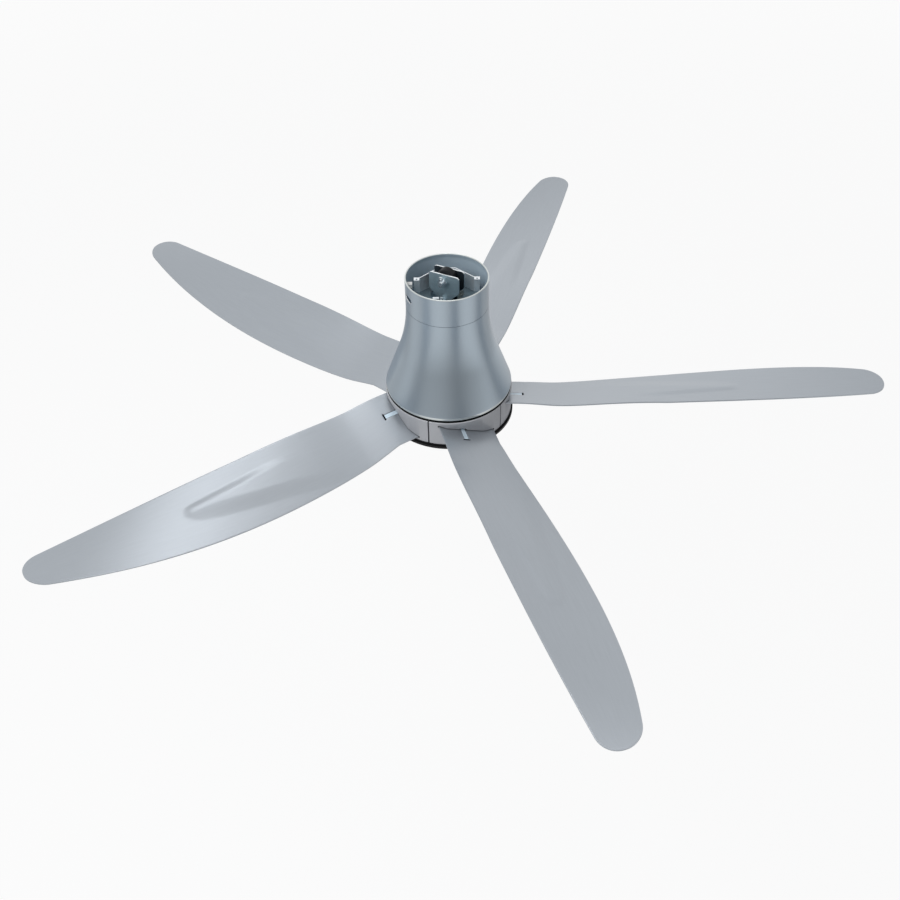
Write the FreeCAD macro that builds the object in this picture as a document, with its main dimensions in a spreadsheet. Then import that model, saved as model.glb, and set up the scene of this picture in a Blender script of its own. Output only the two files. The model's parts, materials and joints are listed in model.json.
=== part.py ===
import FreeCAD, Part
import math
import os
import re

import Sketcher

# Five-blade ceiling fan. Origin at the centre of the canopy rim, +Z up, X along the hanger plates.

# Driving sizes, in millimetres and degrees
SIZES = {
    # canopy collar
    "canopy_radius": 68.0,
    "canopy_wall": 1.2,
    "canopy_height": 51.0,
    "rim_round": 0.3,
    "slot_length": 25.0,
    "slot_height": 9.5,
    "slot_drop": 24.0,
    "slot_angle": -131.2,
    # flared motor cover
    "seam_gap": 0.6,
    "neck_height": 6.0,
    "cover_height": 164.2,
    "cover_wall": 1.2,
    "flare_radius": 108.2,
    "flare_steepness": 1.487,
    "cover_edge": 6.0,
    "flange_inner": 50.0,
    "flange_thickness": 1.6,
    "cover_screw_circle": 55.0,
    # clearances
    "fit_gap": 0.2,
    "seat_gap": 0.1,
    "slide_gap": 0.3,
    "turn_gap": 0.05,
    "running_gap": 2.8,
    # hanger plates, bolts and roller
    "plate_thickness": 2.5,
    "plate_width": 53.0,
    "plate_top": 9.0,
    "plate_shoulder_drop": 21.0,
    "plate_neck_drop": 34.0,
    "plate_bottom_drop": 52.0,
    "plate_neck_width": 27.0,
    "plate_corner": 5.0,
    "roller_radius": 16.0,
    "roller_drop": 2.0,
    "roller_round": 4.0,
    "bolt_radius": 4.0,
    "bolt_head_radius": 7.5,
    "bolt_head_height": 5.3,
    "bolt_tail": 7.0,
    "nut_height": 6.5,
    "pin_radius": 1.0,
    "pin_length": 15.0,
    "pin_eye": 2.4,
    "stem_bolt_drop": 40.0,
    # stem pipe
    "stem_radius": 8.55,
    "stem_bore": 6.25,
    "stem_top_drop": 31.5,
    "stem_length": 88.5,
    # sheet bracket in the canopy mouth
    "bracket_angle": 26.5,
    "bracket_radius": 53.0,
    "bracket_hole": 27.0,
    "bracket_drop": 32.0,
    "bracket_sheet": 1.5,
    "wall_top_drop": 5.0,
    "wall_strip": 2.1,
    "wall_reach": 44.0,
    "wall_front": 3.0,
    "wall_end": 53.0,
    "wall_back": 30.0,
    "wall_back_half": 14.0,
    "tab_front": 3.0,
    "tab_hole_circle": 48.5,
    "tab_hole": 1.6,
    "lug_place": -18.0,
    "lug_width": 10.0,
    "lug_reach": 40.0,
    "lug_top_drop": 12.0,
    "lug_tab": 4.5,
    "bracket_post_circle": 43.0,
    "post_radius": 4.0,
    "clip_width": 8.0,
    "clip_height": 8.0,
    "clip_place": -8.0,
    "clip_length": 11.4,
    # chassis plate and driver
    "chassis_drop": 8.4,
    "chassis_radius": 60.0,
    "chassis_sheet": 2.0,
    "collar_radius": 15.0,
    "collar_height": 14.0,
    "terminal_length": 30.0,
    "terminal_width": 16.0,
    "terminal_height": 12.0,
    "terminal_place": 34.0,
    "terminal_pitch": 9.0,
    "terminal_port": 2.5,
    "board_drop": 38.0,
    "board_radius": 52.0,
    "board_hole": 14.0,
    "board_thickness": 1.6,
    "board_post_circle": 44.0,
    "sink_width": 44.0,
    "sink_depth": 20.0,
    "sink_base": 4.0,
    "sink_fin_height": 18.0,
    "sink_fin": 2.0,
    "sink_place": 20.0,
    "transistor_width": 10.0,
    "transistor_depth": 4.0,
    "transistor_height": 14.0,
    "transistor_pitch": 14.0,
    "capacitor_radius": 8.0,
    "capacitor_height": 24.0,
    "capacitor_circle": 32.0,
    "choke_ring": 9.0,
    "choke_section": 4.0,
    "choke_circle": 30.0,
    # small screws
    "screw_radius": 1.5,
    "screw_head": 3.0,
    "screw_head_height": 2.0,
    "screw_length": 8.0,
    "screw_socket": 1.3,
    "socket_depth": 1.2,
    # shaft and bearings
    "spigot_length": 20.0,
    "shaft_pin_radius": 2.5,
    "shaft_shoulder": 11.0,
    "shaft_radius": 8.5,
    "shaft_tail": 4.0,
    "circlip_thickness": 1.5,
    "circlip_radius": 12.0,
    "circlip_groove": 0.8,
    "bearing_radius": 20.0,
    "bearing_width": 12.0,
    "race_thickness": 3.4,
    "ball_radius": 3.3,
    "bearing_lip": 16.0,
    "boss_radius": 25.0,
    "boss_lip": 2.0,
    # stator
    "stack_height": 18.0,
    "yoke_radius": 38.0,
    "yoke_bore": 30.0,
    "hub_sleeve": 14.0,
    "hub_height": 11.0,
    "sleeve_height": 15.0,
    "tooth_half": 5.0,
    "shoe_half": 15.0,
    "shoe_thickness": 4.0,
    "coil_half": 8.2,
    "coil_overhang": 7.0,
    "coil_margin": 3.0,
    "insulator_thickness": 3.0,
    # rotor
    "rotor_inset": 1.0,
    "rotor_wall": 6.0,
    "rotor_sheet": 3.0,
    "lid_thickness": 3.0,
    "lid_inset": 4.5,
    "iron_thickness": 3.5,
    "iron_height": 24.0,
    "magnet_thickness": 3.5,
    "magnet_share": 0.88,
    "air_gap": 0.8,
    # blade holders
    "holder_overhang": 1.3,
    "holder_depth": 21.5,
    "holder_height": 47.0,
    "holder_gap": 2.6,
    "holder_turn": 2.2,
    "holder_chamfer": 1.2,
    "pocket_floor": 3.0,
    "window_depth": 4.5,
    "window_side": 0.6,
    "window_lead_margin": 4.9,
    "window_middle_margin": 12.5,
    "window_trail_margin": 14.2,
    "holder_screw_offset": 10.0,
    "holder_screw_angle": 20.0,
    # blades
    "blade_phase": 23.28,
    "blade_tip": 750.0,
    "root_margin": 3.0,
    "neck_length": 61.0,
    "blade_thickness": 2.0,
    "pitch_root": 18.8,
    "pitch_neck": 19.2,
    "pitch_quarter": 19.4,
    "pitch_middle": 16.0,
    "pitch_outer": 8.7,
    "pitch_tip": -2.0,
    "lift_neck": -4.2,
    "lift_quarter": 0.0,
    "lift_middle": 7.9,
    "lift_outer": 15.8,
    "lift_tip": 23.7,
    "lead_root": 44.5,
    "lead_quarter": 40.5,
    "lead_middle": 32.6,
    "lead_outer": 21.9,
    "lead_tip": 8.0,
    "trail_root": 51.5,
    "trail_quarter": 74.0,
    "trail_middle": 85.2,
    "trail_outer": 79.3,
    "trail_tip": 46.0,
    "tip_length": 28.0,
    "tip_offset": 19.0,
    "tip_fullness": 2.2,
    # raised spear-shaped swage on each blade
    "swage_height": 2.2,
    "swage_flank": 9.0,
    "swage_length": 372.0,
    "swage_lead_root": 15.0,
    "swage_lead_neck": 19.0,
    "swage_lead_quarter": 18.0,
    "swage_lead_middle": 7.0,
    "swage_trail_root": 38.0,
    "swage_trail_neck": 48.0,
    "swage_trail_quarter": 58.0,
    "swage_trail_middle": 54.0,
    "swage_nose_centre": 26.0,
    "swage_nose_half": 12.0,
    # blade locks
    "lock_place": -5.0,
    "lock_width": 7.6,
    "lock_reach": 18.5,
    "lock_thickness": 1.6,
    "lock_pivot_inset": 12.5,
    "lock_pivot_drop": 6.0,
    "lock_eye": 2.8,
    "lock_pin": 1.5,
    "lock_pin_length": 16.0,
    "lock_room": 11.0,
    "lock_headroom": 3.6,
    "lock_side_gap": 0.7,
    "paddle_inset": 1.5,
    "paddle_gap": 0.3,
    "paddle_thickness": 1.2,
    "paddle_margin": 1.5,
    "slot_margin": 3.0,
    "slot_cross": 13.0,
    "slot_cross_width": 3.0,
    # black bottom ring and bottom cover
    "base_height": 9.5,
    "base_overhang": 2.8,
    "base_step_overhang": 0.8,
    "base_step": 3.0,
    "base_chamfer": 1.5,
    "base_land": 1.5,
    "base_recess": 3.5,
    "disc_margin": 8.0,
    "cover_ledge": 5.0,
    "disc_thickness": 2.4,
    "disc_dish": 40.0,
    "disc_rise": 1.2,
    "disc_slope": 2.4,
}

BLADE_COUNT = 5
MAGNET_COUNT = 20
TOOTH_COUNT = 12
BALL_COUNT = 8
POST_COUNT = 3
FIN_COUNT = 6
TRANSISTOR_COUNT = 3
EDGE_POINTS = 7
TIP_POINTS = 4
STATIONS = ("root", "quarter", "middle", "outer", "tip")
LOFT_STATIONS = ("root", "neck", "quarter", "middle", "outer", "tip")
SWAGE_STATIONS = ("root", "neck", "quarter", "middle")
SWAGE_SHARES = (0.3, 0.7, 1.0, 1.0)
CAPACITOR_ANGLES = (200, 245)
CHOKE_ANGLE = 310
POST_START = 30
DISC_SCREW_START = 60

# Levels and radii that follow from the driving sizes
COVER_TOP = "(-canopy_height - seam_gap)"
COVER_BOTTOM = f"({COVER_TOP} - cover_height)"
HOLDER_TOP = f"({COVER_BOTTOM} - running_gap)"
HOLDER_BOTTOM = f"({HOLDER_TOP} - holder_height)"
BLADE_SEAT = f"({HOLDER_TOP} - holder_height/2)"
BASE_TOP = f"({HOLDER_BOTTOM} - seat_gap)"
BASE_BOTTOM = f"({HOLDER_BOTTOM} - base_height)"
CANOPY_BORE = "(canopy_radius - canopy_wall)"
NECK_RADIUS = f"({CANOPY_BORE} - fit_gap)"
FLARE_ANGLE = "atan(flare_steepness*(flare_radius - canopy_radius)/cover_height)"
CHASSIS_TOP = f"({COVER_TOP} - chassis_drop)"
CHASSIS_BOTTOM = f"({CHASSIS_TOP} - chassis_sheet)"
BRACKET_TOP = "(-bracket_drop)"
BRACKET_BOTTOM = "(-bracket_drop - bracket_sheet)"
BOARD_TOP = f"({CHASSIS_BOTTOM} - board_drop)"
BOARD_BOTTOM = f"({BOARD_TOP} - board_thickness)"
PLATE_INNER = "(stem_radius + seat_gap)"
PLATE_OUTER = "(stem_radius + seat_gap + plate_thickness)"
STEM_TOP = "(-stem_top_drop)"
STEM_BOTTOM = "(-stem_top_drop - stem_length)"
SHAFT_PIN_LEVEL = f"({STEM_BOTTOM} + spigot_length/2)"
ROTOR_TOP = f"({HOLDER_TOP} - rotor_inset)"
ROTOR_CEILING = f"({ROTOR_TOP} - rotor_sheet)"
LID_BOTTOM = HOLDER_BOTTOM
LID_TOP = f"({LID_BOTTOM} + lid_thickness)"
UPPER_BEARING = f"({ROTOR_CEILING} + bearing_width)"
LOWER_BEARING = f"({LID_TOP} + bearing_width)"
MOTOR_MIDDLE = f"(({ROTOR_CEILING} + {LID_TOP})/2)"
SHAFT_END = f"({LID_TOP} - shaft_tail)"
HOLDER_RADIUS = "(flare_radius + holder_overhang)"
LID_RADIUS = f"({HOLDER_RADIUS} - lid_inset)"
ROTOR_RADIUS = f"({HOLDER_RADIUS} - holder_depth)"
HOLDER_SCREW_CIRCLE = f"({ROTOR_RADIUS} + holder_screw_offset)"
POCKET_START = f"({ROTOR_RADIUS} + pocket_floor)"
WINDOW_START = f"({HOLDER_RADIUS} - window_depth)"
LOCK_PIVOT = f"({HOLDER_RADIUS} - lock_pivot_inset)"
LOCK_TIP = f"({HOLDER_RADIUS} + lock_reach)"
SLOT_END = f"({LOCK_TIP} + slot_margin)"
BLADE_BASE = f"({SLOT_END} + root_margin)"
BLADE_NECK = f"({BLADE_BASE} + neck_length)"
SWAGE_NOSE = f"({BLADE_BASE} + swage_length)"
BASE_RADIUS = f"({HOLDER_RADIUS} + base_overhang)"
BASE_STEP_RADIUS = f"({HOLDER_RADIUS} + base_step_overhang)"
BASE_SEAT = f"({LID_RADIUS} - base_land)"
DISC_RADIUS = f"({ROTOR_RADIUS} + disc_margin)"
IRON_OUTER = f"({ROTOR_RADIUS} - rotor_wall - turn_gap)"
IRON_INNER = f"({IRON_OUTER} - iron_thickness)"
MAGNET_INNER = f"({IRON_INNER} - turn_gap - magnet_thickness)"
STATOR_RADIUS = f"({MAGNET_INNER} - air_gap)"
SHOE_FACE = f"sqrt({STATOR_RADIUS}^2 - shoe_half^2)"
DISC_SCREW_CIRCLE = f"({DISC_RADIUS} - cover_ledge/2)"
LEDGE_BOTTOM = f"({BASE_BOTTOM} + disc_thickness + seat_gap)"
SCREW_HOLE = "(screw_radius + seat_gap)"
BOLT_HOLE = "(bolt_radius + seat_gap)"

doc = FreeCAD.newDocument("ceiling_fan")
sheet = doc.addObject("Spreadsheet::Sheet", "Sizes")
for row, (alias, value) in enumerate(SIZES.items(), start=1):
    sheet.set(f"A{row}", alias)
    sheet.set(f"B{row}", str(value))
    sheet.setAlias(f"B{row}", alias)
doc.recompute()

nodes = []


# Formulas and their values


def bound(formula):
    """The formula with the sheet's name before each of its sizes."""
    def full(word):
        name = word.group()
        return "Sizes." + name if name in SIZES else name
    return re.sub(r"[a-z_]+", full, str(formula))


def size(formula):
    """The present value of a formula, as a plain number."""
    value = sheet.evalExpression(bound(formula))
    return float(getattr(value, "Value", value))


def bind(item, place, formula):
    item.setExpression(place, bound(formula))


# Sketches


def new_body(label):
    body = doc.addObject("PartDesign::Body", label)
    body.Label = label
    nodes.append(body)
    return body


def turn_about_z(item, formula):
    item.Placement = FreeCAD.Placement(FreeCAD.Vector(), FreeCAD.Rotation(FreeCAD.Vector(0, 0, 1), 1))
    bind(item, "Placement.Rotation.Angle", formula)


def origin_feature(body, role):
    return next(feature for feature in body.Origin.OriginFeatures if feature.Role == role)


def new_sketch(body, role, lift="0", shift=None, tilt=None, tilt_axis=(0, 0, 1)):
    """A sketch on one of the body's own planes, lifted along its normal, shifted in it and tilted."""
    sketch = body.newObject("Sketcher::SketchObject", body.Label + "_sketch")
    sketch.AttachmentSupport = [(origin_feature(body, role), "")]
    sketch.MapMode = "FlatFace"
    start = FreeCAD.Rotation(FreeCAD.Vector(*tilt_axis), 1 if tilt else 0)
    sketch.AttachmentOffset = FreeCAD.Placement(FreeCAD.Vector(), start)
    bind(sketch, "AttachmentOffset.Base.z", lift)
    if shift:
        bind(sketch, "AttachmentOffset.Base.y", shift)
    if tilt:
        bind(sketch, "AttachmentOffset.Rotation.Angle", tilt)
    return sketch


def hold(sketch, kind, geometry, point, formula):
    """Hold a point of the sketch at a distance from the sketch origin."""
    index = sketch.addConstraint(Sketcher.Constraint(kind, -1, 1, geometry, point, size(formula)))
    bind(sketch, f"Constraints[{index}]", formula)


def fix(sketch, geometry, point, x, y):
    hold(sketch, "DistanceX", geometry, point, x)
    hold(sketch, "DistanceY", geometry, point, y)


def hold_radius(sketch, geometry, formula):
    index = sketch.addConstraint(Sketcher.Constraint("Radius", geometry, size(formula)))
    bind(sketch, f"Constraints[{index}]", formula)


def add_outline(sketch, corners, arcs=None):
    """A closed chain of edges through the corners. arcs maps an edge's number to its centre formulas."""
    arcs = arcs or {}
    first = sketch.GeometryCount
    count = len(corners)
    places = [FreeCAD.Vector(size(x), size(y), 0) for x, y in corners]
    ends = []
    for index in range(count):
        start, end = places[index], places[(index + 1) % count]
        if index not in arcs:
            sketch.addGeometry(Part.LineSegment(start, end), False)
            ends.append((1, 2))
            continue
        centre = FreeCAD.Vector(size(arcs[index][0]), size(arcs[index][1]), 0)
        radius = (start - centre).Length
        angles = [math.atan2(place.y - centre.y, place.x - centre.x) for place in (start, end)]
        forward = (angles[1] - angles[0]) % (2*math.pi) <= math.pi + 1e-6
        if not forward:
            angles.reverse()
        circle = Part.Circle(centre, FreeCAD.Vector(0, 0, 1), radius)
        sketch.addGeometry(Part.ArcOfCircle(circle, angles[0], angles[1]), False)
        ends.append((1, 2) if forward else (2, 1))
    for index, (x, y) in enumerate(corners):
        before = (index - 1) % count
        sketch.addConstraint(Sketcher.Constraint(
            "Coincident", first + before, ends[before][1], first + index, ends[index][0]))
        fix(sketch, first + index, ends[index][0], x, y)
    for index, centre in arcs.items():
        chord = places[(index + 1) % count] - places[index]
        upright = abs(chord.y) > abs(chord.x)
        hold(sketch, "DistanceX" if upright else "DistanceY", first + index, 3, centre[0 if upright else 1])


def add_circle(sketch, x, y, radius):
    circle = Part.Circle(FreeCAD.Vector(size(x), size(y), 0), FreeCAD.Vector(0, 0, 1), size(radius))
    index = sketch.addGeometry(circle, False)
    fix(sketch, index, 3, x, y)
    hold_radius(sketch, index, radius)


def add_axis(sketch, low, high):
    """A construction line for a piece to be turned about."""
    ends = [FreeCAD.Vector(size(x), size(y), 0) for x, y in (low, high)]
    index = sketch.addGeometry(Part.LineSegment(*ends), True)
    fix(sketch, index, 1, *low)
    fix(sketch, index, 2, *high)


def box_corners(low_x, high_x, low_y, high_y):
    return [(low_x, low_y), (high_x, low_y), (high_x, high_y), (low_x, high_y)]


# Features


def revolve(body, sketch, axis="V_Axis"):
    feature = body.newObject("PartDesign::Revolution", body.Label + "_turn")
    feature.Profile = sketch
    feature.ReferenceAxis = (sketch, [axis])
    feature.Angle = 360
    return feature


def pad(body, sketch, length):
    feature = body.newObject("PartDesign::Pad", body.Label + "_pad")
    feature.Profile = sketch
    bind(feature, "Length", length)
    return feature


def pocket(body, sketch, length=None, forward=False):
    """Cut against the sketch normal, or along it when forward, through all unless a length is given."""
    feature = body.newObject("PartDesign::Pocket", body.Label + "_pocket")
    feature.Profile = sketch
    feature.Reversed = forward
    if length:
        bind(feature, "Length", length)
    else:
        feature.Type = "ThroughAll"
    return feature


def repeat_round_z(body, features, count):
    pattern = body.newObject("PartDesign::PolarPattern", body.Label + "_pattern")
    pattern.Originals = features
    pattern.Axis = (origin_feature(body, "Z_Axis"), [""])
    pattern.Angle = 360
    pattern.Occurrences = count
    body.Tip = pattern
    return pattern


def turned(label, *outlines, arcs=None):
    """A piece turned about Z from half sections given as radius and level."""
    body = new_body(label)
    sketch = new_sketch(body, "XZ_Plane")
    for corners in outlines:
        add_outline(sketch, corners, arcs)
    revolve(body, sketch)
    return body


def drill(body, holes, lift, length=None, forward=False):
    """Round holes along Z, given as place and radius."""
    sketch = new_sketch(body, "XY_Plane", lift)
    for x, y, radius in holes:
        add_circle(sketch, x, y, radius)
    return pocket(body, sketch, length, forward)


def cross_drill(body, level, radius):
    """A round hole right through along Y."""
    sketch = new_sketch(body, "XZ_Plane")
    add_circle(sketch, "0", level, radius)
    feature = pocket(body, sketch)
    feature.Midplane = True
    return feature


def ring_places(circle, count, start=0):
    """Places spread evenly on a circle about Z."""
    angles = [start + 360*index/count for index in range(count)]
    return [(f"{circle}*cos({angle})", f"{circle}*sin({angle})") for angle in angles]


def turned_ring(label, circle, corners, count, start="0"):
    """Small turned pieces on a circle. Corners are measured from each piece's own axis."""
    body = new_body(label)
    sketch = new_sketch(body, "XZ_Plane")
    add_outline(sketch, [(f"{circle} + {radius}", level) for radius, level in corners])
    add_axis(sketch, (circle, corners[0][1]), (circle, corners[-1][1]))
    repeat_round_z(body, [revolve(body, sketch, "Axis0")], count)
    turn_about_z(body, start)
    return body


def screw_corners(seat, length, upward):
    """Half section of a socket screw that points down from its seat, or up when upward."""
    way = "" if upward else "-"
    back = "-" if upward else ""
    top = f"({seat} + ({back}screw_head_height))"
    return [
        ("0", f"({seat} + ({way}{length}))"),
        ("screw_radius", f"({seat} + ({way}{length}))"),
        ("screw_radius", seat),
        ("screw_head", seat),
        ("screw_head", top),
        ("screw_socket", top),
        ("0", f"({seat} + ({back}(screw_head_height - socket_depth)))"),
    ]


def post_corners(low, high, radius):
    return [(SCREW_HOLE, low), (radius, low), (radius, high), (SCREW_HOLE, high)]


def group(label, items):
    item = doc.addObject("Part::Compound", label)
    item.Label = label
    item.Links = items
    nodes.append(item)
    return item


def primitive(kind, name, **sizes):
    item = doc.addObject(kind, name)
    for key, formula in sizes.items():
        bind(item, key, formula)
    return item


def move(item, x="0", y="0", z="0"):
    for axis, formula in zip("xyz", (x, y, z)):
        bind(item, f"Placement.Base.{axis}", formula)
    return item


def boolean(kind, base, tool, name):
    item = doc.addObject(kind, name)
    item.Base = base
    item.Tool = tool
    return item


def along_minus_y(item, y, z):
    """Lay a piece made along Z down along -Y, starting at y, at level z."""
    item.Placement = FreeCAD.Placement(FreeCAD.Vector(), FreeCAD.Rotation(FreeCAD.Vector(1, 0, 0), 90))
    return move(item, "0", y, z)


# Hanger


def hanger_plate(label, lift):
    """Steel plate with a wide head for the roller bolt and a neck for the stem bolt."""
    body = new_body(label)
    sketch = new_sketch(body, "XZ_Plane", lift)
    right = [
        ("plate_width/2", "plate_top"),
        ("plate_width/2", "-plate_shoulder_drop"),
        ("plate_neck_width/2", "-plate_neck_drop"),
        ("plate_neck_width/2", "-plate_bottom_drop"),
    ]
    left = [(f"-({x})", z) for x, z in reversed(right)]
    add_outline(sketch, right + left)
    add_circle(sketch, "0", "-roller_drop", BOLT_HOLE)
    add_circle(sketch, "0", "-stem_bolt_drop", BOLT_HOLE)
    plate = pad(body, sketch, "plate_thickness")
    doc.recompute()
    across = [
        f"Edge{number}" for number, edge in enumerate(plate.Shape.Edges, start=1)
        if isinstance(edge.Curve, Part.Line) and abs(edge.tangentAt(edge.FirstParameter).y) > 0.99
        and abs(edge.Vertexes[0].Point.x) > size("bolt_radius")*2
    ]
    rounding = body.newObject("PartDesign::Fillet", label + "_fillet")
    rounding.Base = (plate, across)
    bind(rounding, "Radius", "plate_corner")


def hanger_roller():
    half = f"({PLATE_INNER} - slide_gap)"
    inner = f"({half} - roller_round)"
    rim = "(roller_radius - roller_round)"
    corners = [
        (BOLT_HOLE, f"-{half}"),
        (rim, f"-{half}"),
        ("roller_radius", f"-{inner}"),
        ("roller_radius", inner),
        (rim, half),
        (BOLT_HOLE, half),
    ]
    body = turned("hanger_roller", corners, arcs={1: (rim, f"-{inner}"), 3: (rim, inner)})
    along_minus_y(body, "0", "-roller_drop")


def hanger_bolt(name, drop):
    head = primitive("Part::Prism", name + "_head", Circumradius="bolt_head_radius",
                     Height="bolt_head_height")
    move(head, z="-bolt_head_height")
    shank = primitive("Part::Cylinder", name + "_shank", Radius="bolt_radius",
                      Height=f"2*{PLATE_OUTER} + nut_height + bolt_tail")
    solid = boolean("Part::Fuse", head, shank, name + "_blank")
    hole = primitive("Part::Cylinder", name + "_hole", Radius="pin_radius + seat_gap", Height="4*bolt_radius")
    hole.Placement = FreeCAD.Placement(FreeCAD.Vector(), FreeCAD.Rotation(FreeCAD.Vector(1, 0, 0), 90))
    move(hole, "0", "2*bolt_radius", f"2*{PLATE_OUTER} + nut_height + bolt_tail/2")
    bolt = boolean("Part::Cut", solid, hole, name)
    return along_minus_y(bolt, PLATE_OUTER, f"-{drop}")


def hanger_nut(name, drop):
    prism = primitive("Part::Prism", name + "_prism", Circumradius="bolt_head_radius", Height="nut_height")
    bore = primitive("Part::Cylinder", name + "_bore", Radius="bolt_radius + turn_gap", Height="nut_height")
    nut = boolean("Part::Cut", prism, bore, name)
    return along_minus_y(nut, f"-{PLATE_OUTER}", f"-{drop}")


def split_pin(name, drop):
    legs = primitive("Part::Cylinder", name + "_legs", Radius="pin_radius", Height="pin_length")
    eye = primitive("Part::Torus", name + "_eye", Radius1="pin_eye", Radius2="pin_radius")
    eye.Placement = FreeCAD.Placement(FreeCAD.Vector(), FreeCAD.Rotation(FreeCAD.Vector(1, 0, 0), 90))
    move(eye, z="pin_length + pin_eye")
    pin = boolean("Part::Fuse", legs, eye, name)
    return move(pin, "0", f"-{PLATE_OUTER} - nut_height - bolt_tail/2", f"-{drop} - pin_length/2")


def hanger():
    hanger_plate("hanger_plate_front", PLATE_INNER)
    hanger_plate("hanger_plate_rear", f"-{PLATE_OUTER}")
    hanger_roller()
    drops = {"roller": "roller_drop", "stem": "stem_bolt_drop"}
    group("hanger_bolts", [hanger_bolt(name + "_bolt", drop) for name, drop in drops.items()])
    group("hanger_nuts", [hanger_nut(name + "_nut", drop) for name, drop in drops.items()])
    group("split_pins", [split_pin(name + "_pin", drop) for name, drop in drops.items()])


def stem_pipe():
    corners = box_corners("stem_bore", "stem_radius", STEM_BOTTOM, STEM_TOP)
    body = turned("stem_pipe", corners)
    cross_drill(body, "-stem_bolt_drop", BOLT_HOLE)
    cross_drill(body, SHAFT_PIN_LEVEL, "shaft_pin_radius + seat_gap")


# Bracket, canopy and cover


def canopy_bracket():
    """Sheet pan with rear and end walls, a screw tab at each side and a front lug."""
    body = new_body("canopy_bracket")
    floor = new_sketch(body, "XY_Plane", BRACKET_BOTTOM)
    add_circle(floor, "0", "0", "bracket_radius")
    add_circle(floor, "0", "0", "bracket_hole")
    for x, y in ring_places("bracket_post_circle", POST_COUNT, POST_START):
        add_circle(floor, x, y, SCREW_HOLE)
    pad(body, floor, "bracket_sheet")
    walls = new_sketch(body, "XY_Plane", BRACKET_BOTTOM)
    inner = [
        ("-wall_end", "wall_front"),
        ("-wall_reach", "wall_front"),
        ("-wall_back_half", "wall_back"),
        ("wall_back_half", "wall_back"),
        ("wall_reach", "wall_front"),
        ("wall_end", "wall_front"),
    ]
    outer = [(x, f"{y} + wall_strip") for x, y in reversed(inner)]
    add_outline(walls, inner + outer)
    pad(body, walls, "bracket_drop + bracket_sheet - wall_top_drop")
    tabs = new_sketch(body, "XY_Plane", "-wall_top_drop - bracket_sheet")
    for side in ("-", ""):
        ends = f"{side}wall_reach", f"{side}wall_end"
        add_outline(tabs, box_corners(*ends, "-tab_front", "wall_front + wall_strip"))
        add_circle(tabs, f"{side}tab_hole_circle", "0", "tab_hole")
    pad(body, tabs, "bracket_sheet")
    lug = new_sketch(body, "XY_Plane", BRACKET_BOTTOM)
    low, high = "lug_place - lug_width/2", "lug_place + lug_width/2"
    add_outline(lug, box_corners(low, high, "-lug_reach - bracket_sheet", "-lug_reach"))
    pad(body, lug, "bracket_drop + bracket_sheet - lug_top_drop")
    lug_tab = new_sketch(body, "XY_Plane", "-lug_top_drop - bracket_sheet")
    add_outline(lug_tab, box_corners(low, high, "-lug_reach - lug_tab", "-lug_reach"))
    pad(body, lug_tab, "bracket_sheet")
    turn_about_z(body, "bracket_angle")


def canopy():
    corners = box_corners(CANOPY_BORE, "canopy_radius", "-canopy_height", "0")
    body = turned("canopy", corners)
    doc.recompute()
    ring = body.Tip
    rim = [
        f"Edge{number}" for number, edge in enumerate(ring.Shape.Edges, start=1)
        if isinstance(edge.Curve, Part.Circle) and abs(edge.Curve.Center.z) < size("rim_round")
    ]
    rounding = body.newObject("PartDesign::Fillet", "canopy_fillet")
    rounding.Base = (ring, rim)
    bind(rounding, "Radius", "rim_round")
    slot = new_sketch(body, "XZ_Plane")
    straight, half = "(slot_length/2 - slot_height/2)", "slot_height/2"
    low, high = f"-slot_drop - {half}", f"-slot_drop + {half}"
    ends = [(f"-{straight}", low), (straight, low), (straight, high), (f"-{straight}", high)]
    add_outline(slot, ends, arcs={1: (straight, "-slot_drop"), 3: (f"-{straight}", "-slot_drop")})
    pocket(body, slot, forward=True)
    turn_about_z(body, "slot_angle + 90")


def canopy_clip():
    """Small clip under the left bracket tab, against the canopy wall."""
    block = primitive("Part::Box", "clip_block", Length="clip_length", Width="clip_width",
                      Height="clip_height")
    move(block, f"-{CANOPY_BORE}", "clip_place - clip_width/2",
         "-wall_top_drop - bracket_sheet - seat_gap - clip_height")
    bore = primitive("Part::Cylinder", "clip_bore", Radius=f"{CANOPY_BORE} - fit_gap", Height="canopy_height")
    move(bore, z="-canopy_height")
    clip = boolean("Part::Common", block, bore, "canopy_clip")
    turn_about_z(clip, "bracket_angle")
    nodes.append(clip)


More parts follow.
